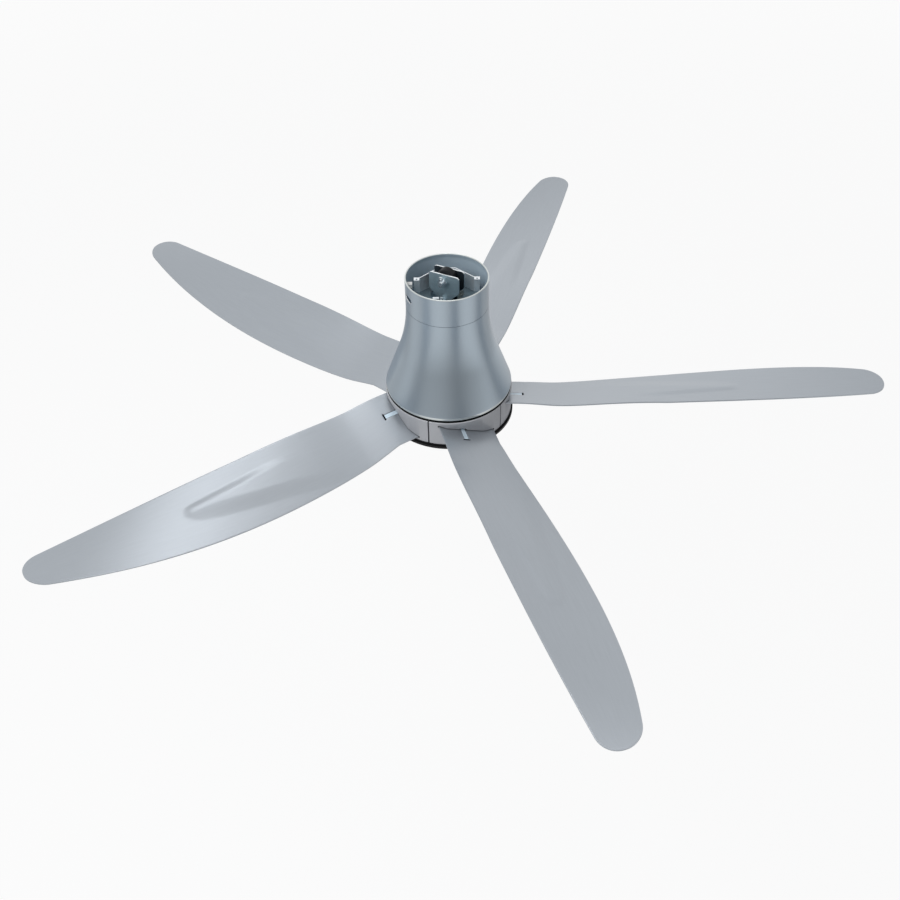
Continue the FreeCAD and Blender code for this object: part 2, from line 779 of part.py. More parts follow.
def motor_cover():
    """Flared shell: neck for the canopy, tangent arc, cone, rolled lower edge and an inner flange."""
    sine, cosine = f"sin({FLARE_ANGLE})", f"cos({FLARE_ANGLE})"
    run = f"(cover_height - cover_edge*(1 + {sine}))"
    rise = f"(flare_radius - cover_edge*(1 - {cosine}) - canopy_radius)"
    arc = f"(({run}*tan({FLARE_ANGLE}) - {rise})*{cosine}/(1 - {cosine}))"
    wide = f"({arc} + cover_wall)"
    flare_centre = (f"(canopy_radius + {arc})", COVER_TOP)
    edge_centre = ("(flare_radius - cover_edge)", f"({COVER_BOTTOM} + cover_edge)")
    inner_edge = "(cover_edge - cover_wall)"
    flange_top = f"{CHASSIS_TOP} + flange_thickness"
    neck_top = f"{COVER_TOP} + neck_height"
    neck_bore = f"{NECK_RADIUS} - cover_wall"
    corners = [
        (NECK_RADIUS, neck_top),
        (NECK_RADIUS, COVER_TOP),
        ("canopy_radius", COVER_TOP),
        (f"{flare_centre[0]} - {arc}*{cosine}", f"{COVER_TOP} - {arc}*{sine}"),
        (f"{edge_centre[0]} + cover_edge*{cosine}", f"{edge_centre[1]} + cover_edge*{sine}"),
        (edge_centre[0], COVER_BOTTOM),
        (edge_centre[0], f"{COVER_BOTTOM} + cover_wall"),
        (f"{edge_centre[0]} + {inner_edge}*{cosine}", f"{edge_centre[1]} + {inner_edge}*{sine}"),
        (f"{flare_centre[0]} - {wide}*{cosine}", f"{COVER_TOP} - {wide}*{sine}"),
        (f"{flare_centre[0]} - sqrt({wide}^2 - chassis_drop^2)", CHASSIS_TOP),
        ("flange_inner", CHASSIS_TOP),
        ("flange_inner", flange_top),
        (neck_bore, flange_top),
        (neck_bore, neck_top),
    ]
    arcs = {2: flare_centre, 4: edge_centre, 6: edge_centre, 8: flare_centre}
    body = turned("motor_cover", corners, arcs=arcs)
    holes = [(x, y, SCREW_HOLE) for x, y in ring_places("cover_screw_circle", POST_COUNT)]
    drill(body, holes, flange_top, "2*flange_thickness")


# Chassis and driver


def chassis_plate():
    bore = "(stem_radius + turn_gap)"
    corners = [
        (bore, f"{CHASSIS_BOTTOM} - collar_height"),
        ("collar_radius", f"{CHASSIS_BOTTOM} - collar_height"),
        ("collar_radius", CHASSIS_BOTTOM),
        ("chassis_radius", CHASSIS_BOTTOM),
        ("chassis_radius", CHASSIS_TOP),
        (bore, CHASSIS_TOP),
    ]
    body = turned("chassis_plate", corners)
    holes = [(x, y, SCREW_HOLE) for x, y in ring_places("cover_screw_circle", POST_COUNT)]
    drill(body, holes, CHASSIS_TOP, "2*chassis_sheet")


def posts_and_screws():
    bracket_start = f"bracket_angle + {POST_START}"
    turned_ring("bracket_standoffs", "bracket_post_circle",
                post_corners(CHASSIS_TOP, BRACKET_BOTTOM, "post_radius"), POST_COUNT, bracket_start)
    turned_ring("bracket_screws", "bracket_post_circle",
                screw_corners(BRACKET_TOP, "screw_length", False), POST_COUNT, bracket_start)
    turned_ring("cover_screws", "cover_screw_circle",
                screw_corners(f"({CHASSIS_TOP} + flange_thickness)", "screw_length", False), POST_COUNT)
    turned_ring("board_standoffs", "board_post_circle",
                post_corners(BOARD_TOP, CHASSIS_BOTTOM, "post_radius"), POST_COUNT, str(POST_START))
    turned_ring("board_screws", "board_post_circle",
                screw_corners(BOARD_BOTTOM, "screw_length", True), POST_COUNT, str(POST_START))


def terminal_block():
    """Two-way block on the chassis with a wire port in each way."""
    body = new_body("terminal_block")
    block = new_sketch(body, "XY_Plane", CHASSIS_TOP)
    add_outline(block, box_corners("-terminal_length/2", "terminal_length/2",
                                   "terminal_place - terminal_width/2", "terminal_place + terminal_width/2"))
    pad(body, block, "terminal_height")
    ports = new_sketch(body, "XZ_Plane", "-terminal_place")
    for side in ("-", ""):
        add_circle(ports, f"{side}terminal_pitch/2", f"{CHASSIS_TOP} + terminal_height/2", "terminal_port")
    pocket(body, ports).Midplane = True


def driver_board():
    body = new_body("driver_board")
    board = new_sketch(body, "XY_Plane", BOARD_BOTTOM)
    add_circle(board, "0", "0", "board_radius")
    add_circle(board, "0", "0", "board_hole")
    for x, y in ring_places("board_post_circle", POST_COUNT, POST_START):
        add_circle(board, x, y, SCREW_HOLE)
    pad(body, board, "board_thickness")


def heat_sink():
    """Finned block under the board, drawn as a comb."""
    body = new_body("heat_sink")
    comb = new_sketch(body, "XZ_Plane", "-sink_place - sink_depth")
    root, tip = f"{BOARD_BOTTOM} - sink_base", f"{BOARD_BOTTOM} - sink_base - sink_fin_height"
    corners = [("sink_width/2", BOARD_BOTTOM), ("-sink_width/2", BOARD_BOTTOM)]
    for fin in range(FIN_COUNT):
        left = f"-sink_width/2 + (sink_width - sink_fin)*{fin}/{FIN_COUNT - 1}"
        right = f"{left} + sink_fin"
        edges = [(left, root), (left, tip), (right, tip), (right, root)]
        if fin == 0:
            edges = edges[1:]
        if fin == FIN_COUNT - 1:
            edges = edges[:-1]
        corners += edges
    add_outline(comb, corners)
    pad(body, comb, "sink_depth")


def driver_parts():
    """Transistors against the heat sink, upright capacitors and a ring choke, all under the board."""
    transistors = []
    middle = (TRANSISTOR_COUNT - 1)/2
    for index in range(TRANSISTOR_COUNT):
        item = primitive("Part::Box", f"transistor_{index + 1}", Length="transistor_width",
                         Width="transistor_depth", Height="transistor_height")
        transistors.append(move(item, f"{index - middle}*transistor_pitch - transistor_width/2",
                                "sink_place - transistor_depth", f"{BOARD_BOTTOM} - transistor_height"))
    group("driver_transistors", transistors)
    cans = []
    for index, angle in enumerate(CAPACITOR_ANGLES):
        can = primitive("Part::Cylinder", f"capacitor_{index + 1}", Radius="capacitor_radius",
                        Height="capacitor_height")
        cans.append(move(can, f"capacitor_circle*cos({angle})", f"capacitor_circle*sin({angle})",
                         f"{BOARD_BOTTOM} - capacitor_height"))
    group("capacitors", cans)
    choke = primitive("Part::Torus", "choke", Radius1="choke_ring", Radius2="choke_section")
    move(choke, f"choke_circle*cos({CHOKE_ANGLE})", f"choke_circle*sin({CHOKE_ANGLE})",
         f"{BOARD_BOTTOM} - choke_section")
    nodes.append(choke)


# Motor


def motor_shaft():
    """Fixed shaft: spigot in the stem, shoulder over the upper bearing, journal and circlip groove."""
    spigot = "(stem_bore - seat_gap)"
    groove = "(shaft_radius - circlip_groove)"
    groove_top = f"({LID_TOP} - seat_gap)"
    groove_bottom = f"({groove_top} - circlip_thickness - seat_gap)"
    corners = [
        ("0", f"{STEM_BOTTOM} + spigot_length"),
        (spigot, f"{STEM_BOTTOM} + spigot_length"),
        (spigot, STEM_BOTTOM),
        ("shaft_shoulder", STEM_BOTTOM),
        ("shaft_shoulder", f"{UPPER_BEARING} + seat_gap"),
        ("shaft_radius", f"{UPPER_BEARING} + seat_gap"),
        ("shaft_radius", groove_top),
        (groove, groove_top),
        (groove, groove_bottom),
        ("shaft_radius", groove_bottom),
        ("shaft_radius", SHAFT_END),
        ("0", SHAFT_END),
    ]
    body = turned("motor_shaft", corners)
    cross_drill(body, SHAFT_PIN_LEVEL, "shaft_pin_radius + seat_gap")
    pin = primitive("Part::Cylinder", "shaft_pin", Radius="shaft_pin_radius", Height="2*stem_radius")
    along_minus_y(pin, "stem_radius", SHAFT_PIN_LEVEL)
    nodes.append(pin)
    clip_top = f"({groove_top} - seat_gap/2)"
    turned("shaft_circlip", box_corners(f"({groove} + turn_gap)", "circlip_radius",
                                        f"{clip_top} - circlip_thickness", clip_top))


def bearings():
    """Two deep-groove bearings: inner races on the shaft, outer races and balls in the rotor."""
    bore = "(shaft_radius + turn_gap/2)"
    outside = "(bearing_radius - turn_gap/2)"
    circle = f"(({bore} + {outside})/2)"
    inner_rim, outer_rim = f"({bore} + race_thickness)", f"({outside} - race_thickness)"
    room = "(ball_radius + turn_gap)"
    inner, outer = [], []
    for top in (UPPER_BEARING, LOWER_BEARING):
        low, high = f"({top} - bearing_width + turn_gap)", f"({top} - turn_gap)"
        middle = f"({top} - bearing_width/2)"
        for races, wall, rim in ((inner, bore, inner_rim), (outer, outside, outer_rim)):
            half = f"sqrt({room}^2 - ({circle} - {rim})^2)"
            races.append([(wall, low), (rim, low), (rim, f"{middle} - {half}"), (rim, f"{middle} + {half}"),
                          (rim, high), (wall, high)])
    centres = [(circle, f"({top} - bearing_width/2)") for top in (UPPER_BEARING, LOWER_BEARING)]
    for label, races in (("bearing_inner_races", inner), ("bearing_outer_races", outer)):
        body = new_body(label)
        sketch = new_sketch(body, "XZ_Plane")
        for corners, centre in zip(races, centres):
            add_outline(sketch, corners, arcs={2: centre})
        revolve(body, sketch)
    balls = new_body("bearing_balls")
    turns = []
    for top in (UPPER_BEARING, LOWER_BEARING):
        middle = f"({top} - bearing_width/2)"
        sketch = new_sketch(balls, "XZ_Plane")
        poles = [(circle, f"{middle} - ball_radius"), (circle, f"{middle} + ball_radius")]
        add_outline(sketch, poles, arcs={0: (circle, middle)})
        add_axis(sketch, *poles)
        turns.append(revolve(balls, sketch, "Axis0"))
    repeat_round_z(balls, turns, BALL_COUNT)


def stator():
    low = f"({MOTOR_MIDDLE} - stack_height/2)"
    core = new_body("stator_core")
    yoke = new_sketch(core, "XY_Plane", low)
    add_circle(yoke, "0", "0", "yoke_radius")
    add_circle(yoke, "0", "0", "yoke_bore")
    pad(core, yoke, "stack_height")
    tooth = new_sketch(core, "XY_Plane", low)
    foot, shoe = "(yoke_radius - shoe_thickness)", f"({SHOE_FACE} - shoe_thickness)"
    upper = [(foot, "tooth_half"), (shoe, "tooth_half"), (shoe, "shoe_half"), (SHOE_FACE, "shoe_half")]
    add_outline(tooth, upper + [(x, f"-{y}") for x, y in reversed(upper)])
    repeat_round_z(core, [pad(core, tooth, "stack_height")], TOOTH_COUNT)
    windings = new_body("stator_windings")
    coil = new_sketch(windings, "YZ_Plane", "yoke_radius + coil_margin", shift=MOTOR_MIDDLE)
    for side, height in (("coil_half", "(stack_height/2 + coil_overhang)"),
                         ("(tooth_half + slide_gap)", "(stack_height/2 + slide_gap)")):
        add_outline(coil, box_corners(f"-{side}", side, f"-{height}", height))
    winding = pad(windings, coil, f"{shoe} - slide_gap - yoke_radius - coil_margin")
    repeat_round_z(windings, [winding], TOOTH_COUNT)
    rings = []
    for base, top in ((f"{MOTOR_MIDDLE} + stack_height/2", "insulator_thickness"),
                      (f"{MOTOR_MIDDLE} - stack_height/2 - insulator_thickness", "insulator_thickness")):
        rings.append(box_corners("yoke_bore", "yoke_radius", base, f"{base} + {top}"))
    turned("stator_insulators", *rings)
    web, sleeve = "hub_height/2", "sleeve_height/2"
    bore, rim = "(shaft_radius + turn_gap/2)", "(yoke_bore - turn_gap/2)"
    turned("stator_hub", [
        (bore, f"{MOTOR_MIDDLE} - {sleeve}"),
        ("hub_sleeve", f"{MOTOR_MIDDLE} - {sleeve}"),
        ("hub_sleeve", f"{MOTOR_MIDDLE} - {web}"),
        (rim, f"{MOTOR_MIDDLE} - {web}"),
        (rim, f"{MOTOR_MIDDLE} + {web}"),
        ("hub_sleeve", f"{MOTOR_MIDDLE} + {web}"),
        ("hub_sleeve", f"{MOTOR_MIDDLE} + {sleeve}"),
        (bore, f"{MOTOR_MIDDLE} + {sleeve}"),
    ])


def rotor():
    seat = "(bearing_radius + turn_gap/2)"
    inner = f"({ROTOR_RADIUS} - rotor_wall)"
    boss_top = f"{UPPER_BEARING} + boss_lip"
    cup = turned("rotor_upper_shell", [
        ("bearing_lip", boss_top),
        ("boss_radius", boss_top),
        ("boss_radius", ROTOR_TOP),
        (ROTOR_RADIUS, ROTOR_TOP),
        (ROTOR_RADIUS, LID_TOP),
        (inner, LID_TOP),
        (inner, ROTOR_CEILING),
        (seat, ROTOR_CEILING),
        (seat, UPPER_BEARING),
        ("bearing_lip", UPPER_BEARING),
    ])
    wall_circle = f"({ROTOR_RADIUS} - rotor_wall/2)"
    wall_holes = [(x, y, SCREW_HOLE) for x, y in ring_places(wall_circle, BLADE_COUNT)]
    drill(cup, wall_holes, LID_TOP, "screw_length", forward=True)
    lid = turned("rotor_lower_shell", [
        ("bearing_lip", LID_BOTTOM),
        (LID_RADIUS, LID_BOTTOM),
        (LID_RADIUS, LID_TOP),
        ("boss_radius", LID_TOP),
        ("boss_radius", LOWER_BEARING),
        (seat, LOWER_BEARING),
        (seat, LID_TOP),
        ("bearing_lip", LID_TOP),
    ])
    drill(lid, wall_holes, LID_BOTTOM, "lid_thickness", forward=True)
    holder_holes = []
    for side in (-1, 1):
        for index in range(BLADE_COUNT):
            angle = f"(blade_phase + {side}*holder_screw_angle + {360*index/BLADE_COUNT})"
            x, y = f"{HOLDER_SCREW_CIRCLE}*cos({angle})", f"{HOLDER_SCREW_CIRCLE}*sin({angle})"
            holder_holes.append((x, y, SCREW_HOLE))
    drill(lid, holder_holes, LID_BOTTOM, "lid_thickness", forward=True)
    drill(lid, disc_screw_holes(), LID_BOTTOM, "lid_thickness", forward=True)
    turned_ring("rotor_shell_screws", wall_circle, screw_corners(LID_BOTTOM, "screw_length", True),
                BLADE_COUNT)
    low, high = f"{MOTOR_MIDDLE} - iron_height/2", f"{MOTOR_MIDDLE} + iron_height/2"
    turned("rotor_back_iron", box_corners(IRON_INNER, IRON_OUTER, low, high))
    magnets = new_body("rotor_magnets")
    block = new_sketch(magnets, "XZ_Plane")
    add_outline(block, box_corners(MAGNET_INNER, f"({MAGNET_INNER} + magnet_thickness)", low, high))
    sector = revolve(magnets, block)
    bind(sector, "Angle", f"magnet_share*{360/MAGNET_COUNT}")
    repeat_round_z(magnets, [sector], MAGNET_COUNT)


# Turning ring and blades


def blade_angle(index):
    return f"blade_phase + {360*index/BLADE_COUNT}"


def root_sketch(body, lift):
    """A sketch square to the blade root's run, with X along the chord and Y along the blade's normal."""
    return new_sketch(body, "YZ_Plane", lift, shift=BLADE_SEAT, tilt="-pitch_root")


def side_sketch(body, chord):
    """A sketch beside the blade root, with X outwards and Y along the blade's normal."""
    lift, shift = f"-({chord})*cos(pitch_root)", f"{BLADE_SEAT} - ({chord})*sin(pitch_root)"
    return new_sketch(body, "XZ_Plane", lift, shift, tilt="-pitch_root", tilt_axis=(1, 0, 0))


def blade_holder(index):
    """Ring segment with a window and pocket for the blade root and a channel for its lock."""
    body = new_body(f"blade_holder_{index + 1}")
    section = new_sketch(body, "XZ_Plane")
    inner, rebate = f"({ROTOR_RADIUS} + fit_gap)", f"({LID_RADIUS} + fit_gap)"
    add_outline(section, [
        (inner, HOLDER_TOP),
        (f"{HOLDER_RADIUS} - holder_chamfer", HOLDER_TOP),
        (HOLDER_RADIUS, f"{HOLDER_TOP} - holder_chamfer"),
        (HOLDER_RADIUS, HOLDER_BOTTOM),
        (rebate, HOLDER_BOTTOM),
        (rebate, f"{LID_TOP} + seat_gap"),
        (inner, f"{LID_TOP} + seat_gap"),
    ])
    sector = revolve(body, section)
    sector.Type = "TwoAngles"
    half = f"{180/BLADE_COUNT} - holder_gap/{HOLDER_RADIUS}*90/pi"
    bind(sector, "Angle", f"{half} + holder_turn")
    bind(sector, "Angle2", f"{half} - holder_turn")
    lead, trail = "lead_root/cos(pitch_root)", "trail_root/cos(pitch_root)"
    under, over = "(-blade_thickness/2 - fit_gap)", "(blade_thickness/2 + fit_gap)"
    root = root_sketch(body, POCKET_START)
    add_outline(root, box_corners(f"-{lead} - fit_gap", f"{trail} + fit_gap", under, over))
    pocket(body, root, forward=True)
    window = root_sketch(body, WINDOW_START)
    add_outline(window, [
        (f"-{lead} - window_side", under),
        (f"{trail} + window_side", under),
        (f"{trail} + window_side", "blade_thickness/2 + window_trail_margin"),
        ("0", "blade_thickness/2 + window_middle_margin"),
        (f"-{lead} - window_side", "blade_thickness/2 + window_lead_margin"),
    ])
    pocket(body, window, forward=True)
    channel = root_sketch(body, f"{LOCK_PIVOT} - lock_eye - lock_side_gap")
    wide = "(lock_width/2 + lock_side_gap)"
    add_outline(channel, box_corners(f"lock_place - {wide}", f"lock_place + {wide}", "-lock_room",
                                     "blade_thickness/2 + lock_headroom"))
    pocket(body, channel, forward=True)
    bore = side_sketch(body, "lock_place + lock_pin_length/2 + seat_gap")
    add_circle(bore, LOCK_PIVOT, "-lock_pivot_drop", "lock_pin + seat_gap")
    pocket(body, bore, "lock_pin_length + 2*seat_gap", forward=True)
    x, y = (f"{HOLDER_SCREW_CIRCLE}*{way}(holder_screw_angle)" for way in ("cos", "sin"))
    holes = [(x, f"-{y}", SCREW_HOLE), (x, y, SCREW_HOLE)]
    drill(body, holes, LID_TOP, "screw_length - lid_thickness + slide_gap", forward=True)
    turn_about_z(body, blade_angle(index))


def holder_screws():
    body = new_body("holder_screws")
    turns = []
    for way in ("-", ""):
        sketch = new_sketch(body, "XZ_Plane", tilt=f"{way}holder_screw_angle", tilt_axis=(0, 1, 0))
        corners = screw_corners(LID_BOTTOM, "screw_length", True)
        add_outline(sketch, [(f"{HOLDER_SCREW_CIRCLE} + {radius}", level) for radius, level in corners])
        add_axis(sketch, (HOLDER_SCREW_CIRCLE, corners[0][1]), (HOLDER_SCREW_CIRCLE, corners[-1][1]))
        turns.append(revolve(body, sketch, "Axis0"))
    repeat_round_z(body, turns, BLADE_COUNT)
    turn_about_z(body, "blade_phase")


def chord_frame(radius, lift, pitch):
    """The place of a blade section: X along the chord, Y along its normal."""
    level = size(BLADE_SEAT) + lift
    along, across, up = FreeCAD.Vector(1, 0, 0), FreeCAD.Vector(0, 1, 0), FreeCAD.Vector(0, 0, 1)
    tilt = FreeCAD.Rotation(along, -pitch)
    upright = FreeCAD.Rotation(across, up, along, "ZXY")
    return FreeCAD.Placement(FreeCAD.Vector(radius, 0, level), tilt.multiply(upright))


def section_wire(frame, points):
    places = [frame.multVec(FreeCAD.Vector(x, y, 0)) for x, y in points]
    return Part.makePolygon(places + places[:1])


def blade_station(name):
    """Radius, lift and pitch of a blade section. The stations divide the blade evenly, the neck is extra."""
    base, tip = size(BLADE_BASE), size("blade_tip")
    radius = size(BLADE_NECK)
    if name in STATIONS:
        radius = base + (tip - base)*STATIONS.index(name)/(len(STATIONS) - 1)
    lift = 0.0 if name == STATIONS[0] else size("lift_" + name)
    return radius, lift, size("pitch_" + name)


def edge_reach(side, share):
    """How far an edge stands from the blade's axis: the polynomial through its values at the stations."""
    knots = [step/(len(STATIONS) - 1) for step in range(len(STATIONS))]
    reach = 0.0
    for name, knot in zip(STATIONS, knots):
        weight = math.prod((share - other)/(knot - other) for other in knots if other != knot)
        reach += weight*size(f"{side}_{name}")
    return reach


def blade_outline():
    """The blade seen from above: nearly straight leading edge, bulged trailing edge and a rounded tip."""
    base, tip, rounding = size(BLADE_BASE), size("blade_tip"), size("tip_length")
    offset, fullness = size("tip_offset"), size("tip_fullness")
    shoulder = tip - rounding
    lead, trail = [], []
    for step in range(EDGE_POINTS + TIP_POINTS):
        if step < EDGE_POINTS:
            along, full = base + (shoulder - base)*step/EDGE_POINTS, 1.0
        else:
            turn = math.pi/2*(step - EDGE_POINTS)/TIP_POINTS
            along = shoulder + rounding*math.sin(turn)**(2/fullness)
            full = math.cos(turn)**(2/fullness)
        share = (along - base)/(tip - base)
        lead.append((along, offset - (offset + edge_reach("lead", share))*full))
        trail.append((along, offset + (edge_reach("trail", share) - offset)*full))
    points = lead + [(tip, offset)] + trail[::-1]
    curve = Part.BSplineCurve()
    curve.interpolate([FreeCAD.Vector(x, y, 0) for x, y in points])
    closing = Part.LineSegment(curve.EndPoint, curve.StartPoint)
    return Part.Face(Part.Wire([curve.toShape(), closing.toShape()]))


def blade_swage():
    """The raised spear on top: flat crown with sloped flanks that rises from the root to a blunt nose."""
    top = size("blade_thickness")/2
    sunk = top - size("blade_thickness")/4
    crown, flank = size("swage_height") + top, size("swage_flank")
    rows = []
    for name, share in zip(SWAGE_STATIONS, SWAGE_SHARES):
        rows.append((blade_station(name), -size("swage_lead_" + name), size("swage_trail_" + name), share))
    inner, outer = blade_station("middle"), blade_station("outer")
    along = (size(SWAGE_NOSE) - inner[0])/(outer[0] - inner[0])
    nose = [low + (high - low)*along for low, high in zip(inner, outer)]
    centre, half = size("swage_nose_centre"), size("swage_nose_half")
    rows.append((nose, centre - half, centre + half, SWAGE_SHARES[0]))
    wires = []
    for place, low, high, share in rows:
        level, slope = sunk + (crown - sunk)*share, flank*share
        points = [(low, sunk), (high, sunk), (high - slope, level), (low + slope, level)]
        wires.append(section_wire(chord_frame(*place), points))
    return Part.makeLoft(wires, True)


def blade_shape():
    """One blade along X: straight root, twisted plate cut to the outline, swage and lock slot."""
    half = size("blade_thickness")/2
    lead, trail = (size(f"{side}_root/cos(pitch_root)") for side in ("lead", "trail"))
    reach = 2*max(size("lead_root"), size("trail_middle"))
    slab = box_corners(-reach, reach, -half, half)
    wires = [section_wire(chord_frame(*blade_station(name)), slab) for name in LOFT_STATIONS]
    plate = Part.makeLoft(wires, True)
    deep = FreeCAD.Vector(0, 0, 2*size("blade_tip"))
    prism = blade_outline()
    prism.translate(FreeCAD.Vector(0, 0, -size("blade_tip")))
    plate = plate.common(prism.extrude(deep))
    root_start = size(f"{POCKET_START} + fit_gap")
    frame = chord_frame(root_start, 0.0, size("pitch_root"))
    root = Part.Face(section_wire(frame, box_corners(-lead, trail, -half, half)))
    root = root.extrude(FreeCAD.Vector(size(BLADE_BASE) - root_start, 0, 0))
    solid = plate.fuse([root, blade_swage()])
    middle, side = size("lock_place"), size("lock_width/2 + lock_side_gap")
    room = size("lock_room")
    slot = Part.Face(section_wire(frame, box_corners(middle - side, middle + side, -room, room)))
    slot = slot.extrude(FreeCAD.Vector(size(SLOT_END) - root_start, 0, 0))
    cross_frame = chord_frame(size(f"{SLOT_END} - slot_cross_width"), 0.0, size("pitch_root"))
    cross = size("slot_cross")/2
    end = Part.Face(section_wire(cross_frame, box_corners(middle - cross, middle + cross, -room, room)))
    end = end.extrude(FreeCAD.Vector(size("slot_cross_width"), 0, 0))
    return solid.cut([slot, end]).removeSplitter()


def blades():
    shape = blade_shape()
    for index in range(BLADE_COUNT):
        blade = doc.addObject("Part::Feature", f"blade_{index + 1}")
        blade.Shape = shape
        turn_about_z(blade, blade_angle(index))
        nodes.append(blade)


def blade_lock(index):
    """Spring tongue: an eye on the pin, an arm in the root slot and a paddle that closes it from below."""
    body = new_body(f"blade_lock_{index + 1}")
    profile = side_sketch(body, "lock_place + lock_width/2")
    top = "(blade_thickness/2)"
    under = f"({top} - lock_thickness)"
    eye_left = f"({LOCK_PIVOT} - lock_eye)"
    eye_right = f"({LOCK_PIVOT} + lock_eye)"
    inner, outer = f"({HOLDER_RADIUS} + paddle_inset)", f"({SLOT_END} + paddle_margin)"
    high = f"(-{top} - paddle_gap)"
    low = f"({high} - paddle_thickness)"
    add_outline(profile, [
        (eye_left, "-lock_pivot_drop"),
        (eye_right, "-lock_pivot_drop"),
        (eye_right, under),
        (inner, under),
        (inner, low),
        (LOCK_TIP, low),
        (LOCK_TIP, top),
        (eye_left, top),
    ], arcs={0: (LOCK_PIVOT, "-lock_pivot_drop")})
    add_circle(profile, LOCK_PIVOT, "-lock_pivot_drop", "lock_pin + turn_gap")
    pad(body, profile, "lock_width")
    wide = "(slot_cross/2 + paddle_margin)"
    paddle = side_sketch(body, f"lock_place + {wide}")
    add_outline(paddle, box_corners(inner, outer, low, high))
    pad(body, paddle, f"2*{wide}")
    turn_about_z(body, blade_angle(index))


def lock_pins():
    body = new_body("lock_pins")
    sketch = side_sketch(body, "lock_place + lock_pin_length/2")
    add_circle(sketch, LOCK_PIVOT, "-lock_pivot_drop", "lock_pin")
    repeat_round_z(body, [pad(body, sketch, "lock_pin_length")], BLADE_COUNT)
    turn_about_z(body, "blade_phase")


# Underside


def disc_screw_holes():
    """Where the screws of the bottom cover pass through cover, ring and lower shell."""
    places = ring_places(DISC_SCREW_CIRCLE, POST_COUNT, DISC_SCREW_START)
    return [(x, y, SCREW_HOLE) for x, y in places]


def bottom_ring():
    """Black stepped ring under the holders with a ledge for the bottom cover."""
    ledge = f"({DISC_RADIUS} - cover_ledge)"
    body = turned("bottom_ring", [
        (ledge, f"{BASE_TOP} - base_recess"),
        (BASE_SEAT, f"{BASE_TOP} - base_recess"),
        (BASE_SEAT, BASE_TOP),
        (BASE_STEP_RADIUS, BASE_TOP),
        (BASE_STEP_RADIUS, f"{BASE_TOP} - base_step"),
        (BASE_RADIUS, f"{BASE_TOP} - base_step"),
        (BASE_RADIUS, f"{BASE_BOTTOM} + base_chamfer"),
        (f"{BASE_RADIUS} - base_chamfer", BASE_BOTTOM),
        (DISC_RADIUS, BASE_BOTTOM),
        (DISC_RADIUS, LEDGE_BOTTOM),
        (ledge, LEDGE_BOTTOM),
    ])
    drill(body, disc_screw_holes(), LEDGE_BOTTOM, "base_height", forward=True)


def bottom_cover():
    """Round cover let into the bottom ring, with a shallow dish in its middle."""
    top = f"({BASE_BOTTOM} + disc_thickness)"
    body = turned("bottom_cover", [
        ("0", f"{BASE_BOTTOM} + disc_rise"),
        ("disc_dish", f"{BASE_BOTTOM} + disc_rise"),
        ("disc_dish + disc_slope", BASE_BOTTOM),
        (f"{DISC_RADIUS} - fit_gap", BASE_BOTTOM),
        (f"{DISC_RADIUS} - fit_gap", top),
        ("disc_dish + disc_slope", top),
        ("disc_dish", f"{top} + disc_rise"),
        ("0", f"{top} + disc_rise"),
    ])
    drill(body, disc_screw_holes(), BASE_BOTTOM, "2*disc_thickness", forward=True)
    length = f"({LID_BOTTOM} + lid_thickness - {BASE_BOTTOM})"
    turned_ring("bottom_screws", DISC_SCREW_CIRCLE, screw_corners(BASE_BOTTOM, length, True),
                POST_COUNT, str(DISC_SCREW_START))


hanger()
stem_pipe()
canopy_bracket()
canopy()
canopy_clip()
motor_cover()
chassis_plate()
posts_and_screws()
terminal_block()
driver_board()
heat_sink()
driver_parts()
motor_shaft()
bearings()
stator()
rotor()
for number in range(BLADE_COUNT):
    blade_holder(number)
    blade_lock(number)
holder_screws()
blades()
lock_pins()
bottom_ring()
bottom_cover()
doc.recompute()

# Every feature sound, every cut real, every piece a valid solid
for item in doc.Objects:
    if "Invalid" in item.State or "Error" in item.State:
        raise RuntimeError(f"{item.Label} failed: {item.State}")
    if item.TypeId == "PartDesign::Pocket":
        before = item.BaseFeature.Shape.Volume
        if before - item.Shape.Volume < 1e-3:
            raise RuntimeError(f"{item.Label} cuts nothing")
for node in nodes:
    if node.Shape.isNull() or not node.Shape.isValid() or not node.Shape.Solids:
        raise RuntimeError(f"{node.Label} is not a valid solid")

os.makedirs("parts", exist_ok=True)
for node in nodes:
    node.Shape.exportStep(f"parts/{node.Label}.step")
    print(node.Label, len(node.Shape.Solids), round(node.Shape.Volume, 1))
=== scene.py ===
import json
import math

import bmesh
import bpy
from mathutils import Matrix, Vector


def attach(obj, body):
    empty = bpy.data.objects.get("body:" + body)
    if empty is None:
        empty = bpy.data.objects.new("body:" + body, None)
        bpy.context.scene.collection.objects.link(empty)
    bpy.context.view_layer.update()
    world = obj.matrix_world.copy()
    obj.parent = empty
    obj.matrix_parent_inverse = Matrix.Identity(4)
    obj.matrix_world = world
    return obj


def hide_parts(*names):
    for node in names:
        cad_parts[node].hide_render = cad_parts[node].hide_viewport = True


# Ceiling fan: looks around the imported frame.
# Blender works in metres; the sizes below are millimetres and degrees where nothing else is said.
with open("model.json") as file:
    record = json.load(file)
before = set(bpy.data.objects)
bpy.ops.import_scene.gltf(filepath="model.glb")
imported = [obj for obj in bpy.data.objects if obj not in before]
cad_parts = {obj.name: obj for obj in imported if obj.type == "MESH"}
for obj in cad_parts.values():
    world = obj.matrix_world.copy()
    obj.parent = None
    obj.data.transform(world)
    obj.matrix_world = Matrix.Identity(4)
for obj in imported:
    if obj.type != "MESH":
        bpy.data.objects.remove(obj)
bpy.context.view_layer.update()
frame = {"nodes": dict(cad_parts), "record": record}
MM = 0.001

